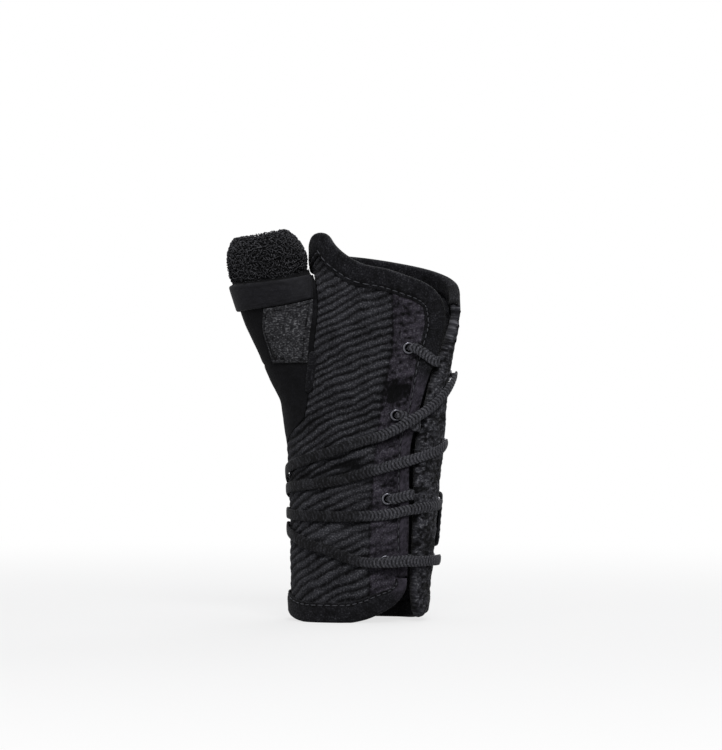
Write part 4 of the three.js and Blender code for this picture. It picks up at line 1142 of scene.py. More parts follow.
@dataclass
class Laces:
    """The two laces: flat plaits from the tab round the body, through the eyelets and back."""

    width: float = 4.7
    thickness: float = 1.0
    neck_width: float = 2.1
    neck_thickness: float = 0.8
    step: float = 0.3
    columns: int = 16
    plait: float = 1.7
    plait_height: float = 0.22
    run_steps: int = 150
    crossing_lift: float = 1.4
    edge_height: float = 1.4
    at_tab: float = 1.8
    raised_turns: tuple = (36, 24)
    level_turns: tuple = (22, 10)
    flat_and_shaded_turns: tuple = (-12, 22)
    front_start: tuple = (0.020, -0.015, 0.060)
    front_end: tuple = (0.044, -0.015, 0.05645)
    back_start: tuple = (-0.010, 0.022, 0.050)
    back_end: tuple = (0.005, 0.022, 0.050)

    def __post_init__(self) -> None:
        """Works out the lifts of the lace above the surface."""
        rest = TAPE_CLEARANCE + self.thickness / 2
        self.rest = rest
        self.over_flange = CLEARANCE + FLANGE_RISE + rest
        self.over_edge = self.edge_height + rest
        self.inside = -CLOTH - CLEARANCE - FLANGE_RISE - rest

    def long_run(self, run: LongRun) -> Array:
        """Returns the stations of a long run: angle, height, lift, heading and neck."""
        rows = run.rows()
        root, end = rows[0][0], rows[-1][0]
        angle = mix(root, end, np.arange(self.run_steps) / self.run_steps)
        z = ShareCurve(rows)(angle)
        far, near = self.raised_turns if run.raised else self.level_turns
        top = self.over_edge + (self.crossing_lift if run.raised else 0)
        out = mix(self.rest, top, ease(0, 1, (angle - BODY.palm_edge(z) + far) / (far - near)))
        seated = out if run.raised else mix(out, self.over_flange, ease(end - near, end, angle))
        lift = mix(self.at_tab, seated, ease(root, root + near, angle))
        return np.stack([angle, z, lift, 0 * angle, 0 * angle], -1)

    def through_bore(self, eyelet: tuple, out_way: tuple, out_lift: float, in_way: tuple,
                     in_heading: float) -> Array:
        """Returns the stations from outside down through an eyelet to the inside."""
        angle, z = eyelet
        turn = float(BODY.degrees_for(LongRun.BEND, angle, z))
        face = CLEARANCE + FLANGE_RISE

        def place(way: tuple, share: float) -> tuple[float, float]:
            """Returns a place some way from the eyelet."""
            return angle + way[0] * turn * share, z + way[1] * LongRun.BEND * share

        return np.array([
            (*place(out_way, 1), out_lift, 0, 0),
            (*place(out_way, 0.25), out_lift - self.thickness / 8, 0, 0.5),
            (angle, z, face, 0, 1),
            (angle, z, -CLOTH / 2, in_heading / 2, 1),
            (angle, z, -CLOTH - face, in_heading, 1),
            (*place(in_way, 0.25), self.inside + self.thickness / 8, in_heading, 0.5),
            (*place(in_way, 1), self.inside, in_heading, 0),
        ])

    def through_gap(self, flap: tuple, palm: tuple, crossing: float) -> Array:
        """Returns the stations from a flap eyelet, inside, up the gap and over the palm's edge."""
        edge = float(BODY.palm_edge(crossing))
        middle = edge + float(BODY.degrees_for(LACE_GAP / 2, edge, crossing))
        near = float(BODY.degrees_for(LongRun.BEND, edge, crossing))
        low, high = self.inside, self.over_edge
        quarter = self.thickness / 4
        return np.array([
            ((flap[0] + middle) / 2, (flap[1] + crossing) / 2, low, 0, 0),
            (middle + near, crossing, low, 0, 0),
            (middle + near / 4, crossing, low + quarter, 0, 0),
            (middle, crossing, mix(low, high, 1 / 3), 0, 0),
            (middle, crossing, mix(low, high, 2 / 3), 0, 0),
            (middle - near / 4, crossing, high - quarter, 0, 0),
            (middle - near, crossing, high, 0, 0),
            ((palm[0] + middle) / 2, (palm[1] + crossing) / 2, (high + self.over_flange) / 2, 0, 0),
        ])

    def half(self, i: int, down: float) -> Array:
        """Returns the stations from a tab end to the inside of a palm eyelet.

        Args:
            i: Index of the run and of its eyelets.
            down: 1 where the lace leaves the palm eyelet upward, -1 where downward.

        Returns:
            The stations.
        """
        run = LONG_RUNS[i]
        out = self.over_edge + self.crossing_lift if run.raised else self.over_flange
        return np.concatenate([
            self.long_run(run),
            self.through_bore(FLAP_EYELETS[i], (-1, 0), out, (-1, 0), 0),
            self.through_gap(FLAP_EYELETS[i], PALM_EYELETS[i], height_at(GAP_CROSSING_SHARES[i])),
            self.through_bore(PALM_EYELETS[i], (1, 0), self.over_flange, (0, down), 90),
        ])

    def path(self, first: int) -> LacePath:
        """Lays a smooth path through a lace's stations.

        The points between two stations are a cubic Hermite span over the chord length, whose
        tangents are the slopes between each station's neighbours. The side that the plait's width
        lies along is the surface's height or angle direction, as the heading says, less its part
        along the path.

        Args:
            first: Index of the lace's first run.

        Returns:
            The path, from one tab end to the other.
        """
        a, b = PALM_EYELETS[first], PALM_EYELETS[first + 1]
        between = np.array([((a[0] + b[0]) / 2, (a[1] + b[1]) / 2, self.inside, 90, 0)])
        stations = np.concatenate([self.half(first, -1), between, self.half(first + 1, 1)[::-1]])
        angle, z, lift, heading, neck = stations.T
        points = BODY.lifted(angle, z, lift)
        chord = lengths_along(points)
        slopes = np.gradient(points, chord, axis=0)
        at = np.arange(0, chord[-1], self.step)
        i = np.clip(np.searchsorted(chord, at) - 1, 0, len(chord) - 2)
        span = (chord[i + 1] - chord[i])[:, None]
        t = (at - chord[i])[:, None] / span
        line = (mix(points[i], points[i + 1], t * t * (3 - 2 * t))
                + span * t * (1 - t) * ((1 - t) * slopes[i] - t * slopes[i + 1]))
        turn = np.radians(heading)[:, None]
        up, around = unit(BODY.along_height(angle, z)), unit(BODY.along_angle(angle, z))
        wide = up * np.cos(turn) + around * np.sin(turn)
        side = np.stack([np.interp(at, chord, wide[:, k]) for k in range(3)], -1)
        run = unit(np.gradient(line, axis=0))
        side = unit(side - run * np.sum(side * run, -1, keepdims=True))
        return LacePath(line, side, np.cross(run, side), at, np.interp(at, chord, neck),
                        np.interp(at, chord, angle))

    def skin(self, path: LacePath) -> Skin:
        """Returns the plait along a path.

        Its section is a flattened loop. Two rows of slanting ridges meet in a V along the middle:
        the relief is |sin| of the length and the distance from the middle over the plait's pitch.
        """
        turn = section_turns(self.columns)
        across, rise = signed_power(np.cos(turn), 0.7), signed_power(np.sin(turn), 0.8)
        length = path.length[:, None]
        plait = np.abs(np.sin(np.pi * (length / self.plait + 0.9 * np.abs(across)))) ** 1.3
        # Towards the thumb side the plaits lie flatter and their colour is darker: painted shade there.
        worn = 0.25 + 0.75 * ease(*self.flat_and_shaded_turns, path.angle)[:, None]
        width = mix(self.width, self.neck_width, path.neck)[:, None] / 2
        thick = mix(self.thickness, self.neck_thickness, path.neck)[:, None] / 2
        height = thick * rise + self.plait_height * (plait - 0.6) * np.sign(rise) * worn
        width = width * (1 + 0.04 * soft_noise(length, 0, 3.0, 41))
        points = (path.line[:, None] + path.side[:, None] * (width * across)[..., None]
                  + path.face[:, None] * height[..., None])
        # Plait ridges get a painted highlight, and the thumb-side stretches painted shade, through the share
        # above.
        crown = 1.05 * plait * worn - 0.06 + 0.2 * soft_noise(length, across * 2, 0.8, 42)
        uv = places_grid(path.length, np.arange(self.columns + 1) * (2 * self.width / self.columns))
        return tubes(points[None], uv, crown[None])

    def build(self) -> list[Object]:
        """Makes each lace's front piece, and its two back stretches as one piece."""
        made = []
        for name, first in (("lace_upper", 0), ("lace_lower", 2)):
            path = self.path(first)
            behind = path.angle < RADIAL_SEAM
            start, end = int(np.argmin(behind)), len(behind) - int(np.argmin(behind[::-1]))
            front = make_piece(f"{name}_front", self.skin(path.part(start, end)), BRAID_CLOTH)
            made.append(across_seam(front, name, start=self.front_start, end=self.front_end))
            tails = joined([self.skin(path.part(None, start + 1)), self.skin(path.part(end - 1, None))])
            back = make_piece(f"{name}_tails", tails, BRAID_CLOTH)
            made.append(across_seam(back, start=self.back_start, end=self.back_end))
            LOG.info("%s is %.0f mm long", name, path.length[-1])
        return made


@dataclass(frozen=True)
class Fold:
    """A fold or puff of the palm cloth.

    Attributes:
        width: Share of the splint's width at its middle.
        height: Share of its height there.
        length: Half length in millimetres.
        breadth: Half breadth in millimetres.
        tilt: Angle of its length to the level, in degrees.
        rise: Height in millimetres, negative for a hollow.
    """

    width: float
    height: float
    length: float
    breadth: float
    tilt: float
    rise: float

    def at(self, points: Array) -> Array:
        """Returns the fold's height on the front: its rise times a bell along and one across it."""
        x, z = points[..., 0] - across_at(self.width), points[..., 2] - height_at(self.height)
        turn = math.radians(self.tilt)
        along, over = x * math.cos(turn) + z * math.sin(turn), z * math.cos(turn) - x * math.sin(turn)
        return self.rise * bump(along, self.length) * bump(over, self.breadth) * ease(8, -4, points[..., 1])


@dataclass
class ClothPanels:
    """The three ribbed panels of the body."""

    rib_pitch: float = 3.7
    rib_height: float = 0.75
    low_pitch: float = 4.3
    low_until: float = 60.0
    slope: float = 0.6
    flattening: float = 0.0044
    far_slope: float = 0.16
    lead: float = 30.0
    bend_span: tuple = (-40, 50)
    waviness: float = 0.25
    press: float = 0.35
    strip_rise: float = 0.35
    hole_depth: float = -1.6
    folds: tuple = (
        Fold(0.723, 0.588, 6.5, 4.2, 20, -1.8),
        Fold(0.745, 0.63, 5.0, 2.2, 24, 0.7),
        Fold(0.512, 0.402, 9.0, 2.4, 10, -1.3),
        Fold(0.33, 0.372, 8.0, 2.2, 6, -0.9),
        Fold(0.566, 0.333, 9.0, 3.6, 4, 0.9),
        Fold(0.62, 0.43, 7.0, 3.0, 10, 0.7),
        Fold(0.685, 0.345, 4.0, 2.6, -30, -1.0),
        Fold(0.45, 0.22, 9.0, 4.0, -6, 0.6),
        Fold(0.66, 0.21, 8.0, 3.5, 4, 0.6),
        Fold(0.36, 0.5, 7.0, 2.4, 30, -0.6),
    )

    def ribs(self, arc: Array, z: Array, seed: int) -> Array:
        """Ribs' relief, from 0 in a groove to about 1 on a ridge.

        A rib is the absolute cosine of its phase, softened, so ridges are round and grooves narrow.
        The phase is the height less the rib's own rise over the pitch. The rise is a parabola of
        the length round the body, then a straight line, and slow noise bends it.
        """
        run = arc + self.lead
        bend = np.clip(run, *self.bend_span)
        rise = self.slope * bend - self.flattening * bend * np.abs(bend) + self.far_slope * (run - bend)
        low = z - rise
        saved = self.low_until / self.rib_pitch - self.low_until / self.low_pitch
        phase = low / self.rib_pitch - saved * np.clip(low / self.low_until, 0, 1)
        phase = phase + 0.3 * soft_noise(arc, z, 9.0, seed) + 0.13 * soft_noise(arc, z, 3.0, seed + 1)
        ridge = (np.cos(np.pi * phase) ** 2 + 0.01) ** 0.65
        wear = 0.82 + 0.28 * soft_noise(arc, z, 5.0, seed + 2)
        return ridge * wear + 0.12 * soft_noise(arc, z, 1.0, seed + 3)

    def holes(self, points: Array, eyelets: Sequence[tuple]) -> Array:
        """Returns 1 inside an eyelet's barrel and 0 outside it."""
        inside = np.zeros(points.shape[:-1])
        for angle, z in eyelets:
            distance = np.linalg.norm(points - BODY.point(angle, z), axis=-1)
            inside = np.maximum(inside, 1 - ease(EYELET_BORE / 2, EYELET_BORE / 2 + 0.5, distance))
        return inside

    def pressed(self, angle: Array, z: Array) -> Array:
        """Returns how far each place of the cloth lies under a long run, from 0 to 1."""
        under = sum(bump(z - ShareCurve(run.rows())(angle), 3.2) for run in LONG_RUNS)
        return np.clip(under, 0, 1) * ease(-110, -90, angle)

    def panel(self, chart: Chart, rows: int, columns: int, relief: Callable) -> Skin:
        """Returns a panel with the relief on its outer face.

        Args:
            chart: The panel's map.
            rows: Points up the panel.
            columns: Points across it.
            relief: Gives the lift, crown and layer from angle, height, arc and points.

        Returns:
            The panel's skin.
        """
        angle, z = chart.grid(rows, columns)
        points, arc = BODY.point(angle, z), BODY.arc(angle, z)
        lift, crown, layer = relief(angle, z, arc, points)
        outer = points + BODY.normal(angle, z) * lift[..., None]
        inner = BODY.inner_face(angle, z)
        return shell(outer, inner, np.stack([arc, z], -1), crown, layer)

    def palm_relief(self, angle: Array, z: Array, arc: Array, points: Array) -> tuple[Array, Array, Array]:
        """Returns the palm's lift, crown and layer: ribs, the smoother strip beside the laced edge
        with its stitched seam, hollows under the laces, folds, and the eyelets' holes."""
        ribs = self.ribs(arc, z, 7)
        past = points[..., 0] - across_at(PALM_EYELET_LINE(z / HEIGHT) - STRIP_MARGIN_SHARE)
        strip = ease(-0.5, 0.5, past) * ease(1, 0, points[..., 1])
        seam = bump(past, 0.7) * ease(1, 0, points[..., 1])
        lift = self.rib_height * (ribs - 1) * mix(1, 0.35, strip) + self.strip_rise * strip - 0.3 * seam
        folds = sum(fold.at(points) for fold in self.folds)
        lift = lift + folds - self.press * self.pressed(angle, z)
        lift = lift + self.waviness * soft_noise(arc, z, 12.0, 31)
        hole = self.holes(points, PALM_EYELETS)
        mottle = 0.42 + 0.6 * soft_noise(arc, z, 1.1, 12) + 0.4 * soft_noise(arc, z, 4.0, 13)
        # Inside each eyelet the crown drops, so the cloth there is painted dark: painted shade in the hole.
        crown = mix(ribs, mix(mottle, ribs, 0.4), strip) - 0.4 * seam - hole
        # The folds also tint the crown: painted shade in their hollows and a painted highlight on the puffs.
        return mix(lift, self.hole_depth, hole), crown + 0.6 * np.clip(folds, -2, 0.4), strip

    def plain_relief(self, seed: int, eyelets: Sequence[tuple] = ()) -> Callable:
        """Returns the relief of a panel with ribs alone, and the holes of its eyelets."""
        def relief(angle: Array, z: Array, arc: Array, points: Array) -> tuple[Array, Array, Array]:
            """Returns lift, crown and layer."""
            ribs, hole = self.ribs(arc, z, seed), self.holes(points, eyelets)
            lift = self.rib_height * (ribs - 1) + self.waviness * soft_noise(arc, z, 14.0, seed + 5)
            # Inside each eyelet the crown drops, so the cloth there is painted dark: painted shade in the
            # hole.
            return mix(lift, self.hole_depth, hole), ribs - hole, np.zeros_like(z)

        return relief

    def build(self) -> list[Object]:
        """Makes the palm, thumb side and dorsal cloths."""
        palm, side, flap = (make_piece(name, skin, RIBBED_CLOTH) for name, skin in (
            ("palm_cloth", self.panel(PALM_CHART, 385, 121, self.palm_relief)),
            ("thumb_side_cloth", self.panel(SIDE_CHART, 329, 33, self.plain_relief(7))),
            ("dorsal_cloth", self.panel(FLAP_CHART, 329, 121, self.plain_relief(57, FLAP_EYELETS)))))
        made = [on_body(palm, Body.SHELL, "palmar_panel"), on_body(side, Body.SHELL, "thumb_side_panel"),
                across_seam(flap, "dorsal_panel")]
        return made


@dataclass(frozen=True)
class TapeRoute:
    """A binding's route along an edge: angle, height, the way inward on the chart, and width."""

    angle: Array
    z: Array
    inward_angle: Array
    inward_z: Array
    width: Array
    length: Array

    @classmethod
    def along(cls, stretches: Sequence[tuple], side: int, widths: tuple, change: tuple = (0, 1),
              step: float = 1.2, smoothing: float = 2.5) -> "TapeRoute":
        """Lays a route along edges of charts.

        Args:
            stretches: For each stretch its chart, its start and its end in shares across and up.
            side: 1 where the panel is left of the route, -1 where it is right.
            widths: Its widths at the start and the end.
            change: Shares of the way between which the width changes.
            step: Spacing of the route's points in millimetres.
            smoothing: Length in millimetres over which corners are rounded.

        Returns:
            The route. The way inward is normal x run, as a mix of the two surface directions.
        """
        t = np.linspace(0, 1, 240)
        rows = [np.stack(chart.at(mix(start[0], end[0], t), mix(start[1], end[1], t)), -1)
                for chart, start, end in stretches]
        angle, z = np.concatenate(rows).T
        points = BODY.point(angle, z)
        chord = lengths_along(points)
        at = np.linspace(0, chord[-1], int(chord[-1] / step) + 1)
        reach = int(smoothing / step)
        bell = np.hanning(2 * reach + 3)[1:-1]

        def smoothed(values: Array) -> Array:
            """Returns values at the route's points, averaged under a bell, held at both ends."""
            even = np.interp(at, chord, values)
            longer = np.concatenate([2 * even[0] - even[reach:0:-1], even,
                                     2 * even[-1] - even[-2:-reach - 2:-1]])
            return np.convolve(longer, bell / bell.sum(), "valid")

        angle, z = smoothed(angle), smoothed(z)
        run = unit(np.gradient(BODY.point(angle, z), axis=0))
        along_u, along_v = BODY.along_angle(angle, z), BODY.along_height(angle, z)
        inward = np.cross(unit(np.cross(along_u, along_v)), run) * side
        uu, vv, uv, u, v = (np.sum(a * b, -1) for a, b in (
            (along_u, along_u), (along_v, along_v), (along_u, along_v), (inward, along_u), (inward, along_v)))
        square = uu * vv - uv * uv
        return cls(angle, z, (u * vv - v * uv) / square, (v * uu - u * uv) / square,
                   mix(*widths, ease(*change, at / at[-1])), at)

    def place(self, length: Array, inset: Array, lift: Array) -> Array:
        """Returns points at a length along, an inset from the edge and a lift above the surface."""
        angle, z, across, up = (np.interp(length, self.length, values) for values in (
            self.angle, self.z, self.inward_angle, self.inward_z))
        points = BODY.lifted(angle + across * inset, z + up * inset, lift)
        points[..., 2] = np.maximum(points[..., 2], FOOT_FLAT)
        return points


@dataclass
class Bindings:
    """The four folded tapes with their rows of stitches."""

    puff: float = 1.3
    seam_share: float = 0.84
    stitch_pitch: float = 3.4
    stitch_length: float = 2.5
    thread: float = 0.3
    groove: float = 0.62
    stitch_rise: float = 0.16
    inner_leg: float = 0.8

    def section(self) -> tuple[Array, Array, Array]:
        """Returns the tape's section as share of its width, lift and reach beyond the edge.

        The outer skin swells between its edge and the stitched groove, and again up to the fold,
        half a turn round the cloth's edge. The second half runs back close to the cloth.
        """
        bite, gap = CLOTH / 2, TAPE_CLEARANCE + TAPE_THICKNESS
        top = np.array([
            (1.0, 0.06), (0.985, 0.5), (0.94, 0.86), (0.88, 0.8), (self.seam_share, 0.6), (0.79, 0.84),
            (0.68, 1.16), (0.52, self.puff), (0.34, self.puff), (0.17, self.puff)])
        turns = np.linspace(0, np.pi, 9)
        low = np.array([(0.2, gap), (0.45, gap), (0.75, 1.1), (0.92, 0.9), (1.0, 0.35)])
        share = np.concatenate([top[:, 0], 0 * turns, low[:, 0] * self.inner_leg])
        outer = np.concatenate([top[:, 1], -bite + (bite + gap) * np.cos(turns), -CLOTH - low[:, 1]])
        inner = np.concatenate([0.02 + 0 * top[:, 1], -bite + (bite + 0.05) * np.cos(turns),
                                -CLOTH - 0.05 + 0 * low[:, 1]])
        reach = np.zeros_like(share)
        reach[len(top):len(top) + len(turns)] = np.sin(turns)
        beyond = np.concatenate([reach * FOLD_REACH, (reach * 0.05)[::-1]])
        return np.concatenate([share, share[::-1]]), np.concatenate([outer, inner[::-1]]), beyond

    def tape(self, route: TapeRoute, seed: int) -> Skin:
        """Returns the tape's skin along a route, pulled in a little at every stitch.

        Where the tape is narrow, beside the laces, it is cut from the strip's lighter cloth.
        """
        share, lift, beyond = self.section()
        s = route.length[:, None]
        outer = np.arange(len(share)) < len(share) // 2
        at_seam = bump(share - self.seam_share, 0.09) * outer * (lift > 0)
        pull = 0.5 + 0.5 * np.cos(2 * np.pi * s / self.stitch_pitch)
        swell = 1 + 0.1 * soft_noise(s, share * 9, 6.0, seed)
        height = np.where(lift > 0.1, lift * swell, lift) - 0.22 * at_seam * pull
        points = route.place(s + 0 * share, share * route.width[:, None] - beyond, height)
        narrow = ease(7, 5, route.width)[:, None]
        crown = (0.5 + 0.5 * soft_noise(s, share * 9, 1.0, seed + 1) - 0.5 * at_seam
                 + 0.2 * soft_noise(s, share * 9, 4.0, seed + 2) + 0.1 * narrow)
        girth = np.concatenate([[0], np.cumsum(np.hypot(np.diff(share) * 8, np.diff(lift)))])
        uv = places_grid(route.length, np.append(girth, girth[-1] + 1))
        return tubes(points[None], uv, np.where(outer, crown, 0.2)[None], narrow[None])

    def stitches(self, route: TapeRoute) -> Skin:
        """Returns the row of stitches: short threads that rise from the groove and dive again."""
        middle = (np.arange(int(route.length[-1] / self.stitch_pitch) - 1) + 1) * self.stitch_pitch
        t = np.linspace(-1, 1, 6)
        s = middle[:, None] + t * self.stitch_length / 2
        inset = np.interp(s, route.length, route.width) * self.seam_share
        lift = self.groove + self.stitch_rise * (1 - t**2)
        return threads(*(route.place(s, inset, lift + rise) for rise in (0, 1)), t, self.thread)

    def routes(self) -> dict[str, TapeRoute]:
        """Returns the routes of the four tapes."""
        palm = [(SIDE_CHART, (1, 1), (0, 1)), (PALM_CHART, (0, 1), (1, 1)), (PALM_CHART, (1, 1), (1, 1 / 24))]
        hem = [(PALM_CHART, (1, 0.034), (1, 0)), (PALM_CHART, (1, 0), (0, 0)), (SIDE_CHART, (0, 0), (1, 0))]
        top, foot = [(FLAP_CHART, (1, 1), (0, 1))], [(FLAP_CHART, (0, 0), (1, 0))]
        return {
            "palm": TapeRoute.along(palm, -1, (PALM_TAPE_WIDTH, EDGE_TAPE_WIDTH), (0.5, 0.66)),
            "forearm": TapeRoute.along(hem, -1, (EDGE_TAPE_WIDTH, HEM_TAPE_WIDTH), (0, 0.2)),
            "dorsal_top": TapeRoute.along(top, 1, (PALM_TAPE_WIDTH, PALM_TAPE_WIDTH)),
            "dorsal_hem": TapeRoute.along(foot, 1, (HEM_TAPE_WIDTH, HEM_TAPE_WIDTH)),
        }

    def build(self) -> list[Object]:
        """Makes the tapes and their stitches."""
        made = []
        for seed, (name, route) in enumerate(self.routes().items()):
            tape = make_piece(f"{name}_tape", self.tape(route, 70 + seed * 5), BRUSHED_CLOTH)
            thread = make_piece(f"{name}_stitches", self.stitches(route), THREAD)
            if name.startswith("dorsal"):
                made += [across_seam(tape, f"{name}_binding"), across_seam(thread)]
            else:
                made += [on_body(tape, Body.SHELL, f"{name}_binding"), on_body(thread, Body.SHELL)]
        return made


def threads(line: Array, above: Array, t: Array, radius: float) -> Skin:
    """Short round threads that thin at both ends.

    Args:
        line: N by 6 points of the threads' lines.
        above: The same points a millimetre higher.
        t: The six places along each thread, from -1 to 1.
        radius: Radius of a thread in millimetres, which shrinks as sqrt(1 - 0.85 t^2).

    Returns:
        The threads' skin.
    """
    ahead = unit(np.gradient(line, axis=1))
    side = unit(np.cross(ahead, above - line))
    turn = section_turns(6)[:, None]
    ring = side[:, :, None] * np.cos(turn) + np.cross(side, ahead)[:, :, None] * np.sin(turn)
    girth = radius * np.sqrt(1.02 - 0.85 * t**2)[None, :, None, None]
    return tubes(line[:, :, None] + ring * girth, crown=0.75)


@dataclass
class EdgeRoll:
    """Padded roll along the flap's laced edge."""

    rise: float = 2.4
    dome: float = 5.0
    tuck: float = 1.5
    rows: int = 281
    columns: int = 33

    def build(self) -> list[Object]:
        """Makes the roll: its lift is the lesser of a steep dome across and one along it."""
        chart = Chart(BODY.roll_edge, steady(FAR_ROLL + self.tuck), end_curve(ROLL_BOTTOM_SHARES, 0),
                      end_curve(ROLL_TOP_SHARES, 0))
        angle, z = chart.grid(self.rows, self.columns)
        dome = rounded(chart.inset(self.rows, self.columns), self.dome)
        arc = BODY.arc(angle, z)
        fuzz = 0.22 * soft_noise(arc, z, 1.1, 91) + 0.25 * soft_noise(arc, z, 3.5, 92)
        outer = BODY.lifted(angle, z, (self.rise + fuzz) * dome)
        inner = BODY.inner_face(angle, z)
        crown = 0.42 + 0.75 * soft_noise(arc, z, 1.1, 93) + 0.4 * soft_noise(arc, z, 4.0, 94)
        piece = make_piece("edge_roll", shell(outer, inner, np.stack([arc, z], -1), crown), ROLL_CLOTH)
        return [on_body(piece, Body.FLAP, "dorsal_edge_roll")]


@dataclass
class SeamStrips:
    """Cloth strips behind the seams, where the panels' edges are sewn together."""

    half_width: float = 1.7
    half_thickness: float = 0.3
    lift: float = -1.75
    rows: int = 140
    sides: int = 12

    def strip(self, name: str, seam: Curve, low: float, high: float) -> Object:
        """Makes a flat strip behind a seam.

        Args:
            name: The strip's name.
            seam: Angle of the seam over the height.
            low: Share of the splint's height where it starts.
            high: Share of the height where it ends.

        Returns:
            The strip.
        """
        z = np.linspace(height_at(low), height_at(high), self.rows)[:, None]
        turn = section_turns(self.sides)
        middle = seam(z)
        across = BODY.degrees_for(1.0, middle, z) * self.half_width * np.cos(turn)
        points = BODY.lifted(middle + across, z, self.lift + self.half_thickness * np.sin(turn))
        skin = tubes(points[None], places_grid(z[:, 0], np.arange(self.sides + 1) * 0.6))
        return make_piece(name, skin, STRETCH_CLOTH)

    def build(self) -> list[Object]:
        """Makes the strips of both thumb seams and of the flap's seam."""
        return [
            on_body(self.strip("front_seam_strip", BODY.seam_front, 0.036, 0.955), Body.SHELL),
            on_body(self.strip("back_seam_strip", BODY.seam_back, 0.4, 0.95), Body.SHELL),
            across_seam(self.strip("flap_seam_strip", BODY.hinge, 0.016, 0.93)),
        ]


@dataclass(frozen=True)
class Patch:
    """A flat piece sewn on the thumb sleeve.

    Attributes:
        name: The piece's name.
        spans: Where it starts and ends, in the sleeve's u.
        low: Height of the line below it over u.
        high: Height of the line above it over u.
        gaps: Gaps that it leaves to those two lines.
        lift: Height of its back above the sleeve.
        thickness: Its thickness.
        ripple: Height of its slow unevenness.
        border: Width in millimetres over which the border rounds off.
    """

    name: str
    spans: tuple
    low: Curve
    high: Curve
    gaps: tuple
    lift: float
    thickness: float
    ripple: float = 0.0
    border: float = 1.2

    def skin(self, rows: int = 49, columns: int = 97) -> Skin:
        """Returns its skin: the outer face rounds off towards the border."""
        v, t = spread(rows, columns)
        u = mix(*self.spans, t)
        z = mix(self.low(u) + self.gaps[0], self.high(u) - self.gaps[1], v)
        place = THUMB.inside_seams(u, z, 0.6)
        inset = border_inset(THUMB.point(place, z), v, t)
        dome = rounded(inset, self.border)
        face = self.thickness * (0.12 + 0.88 * dome) + self.ripple * soft_noise(u * 20, z, 5.0, 111) * dome
        outer = THUMB.lifted(place, z, self.lift + face)
        inner = THUMB.lifted(thinned(place), thinned(z), self.lift)
        crown = 0.5 + 0.3 * soft_noise(u * 30, z, 0.9, 112) - 0.35 * bump(inset - self.border * 1.6, 0.4)
        return shell(outer, inner, np.stack([u * THUMB.HALF_GIRTH, z], -1), crown)


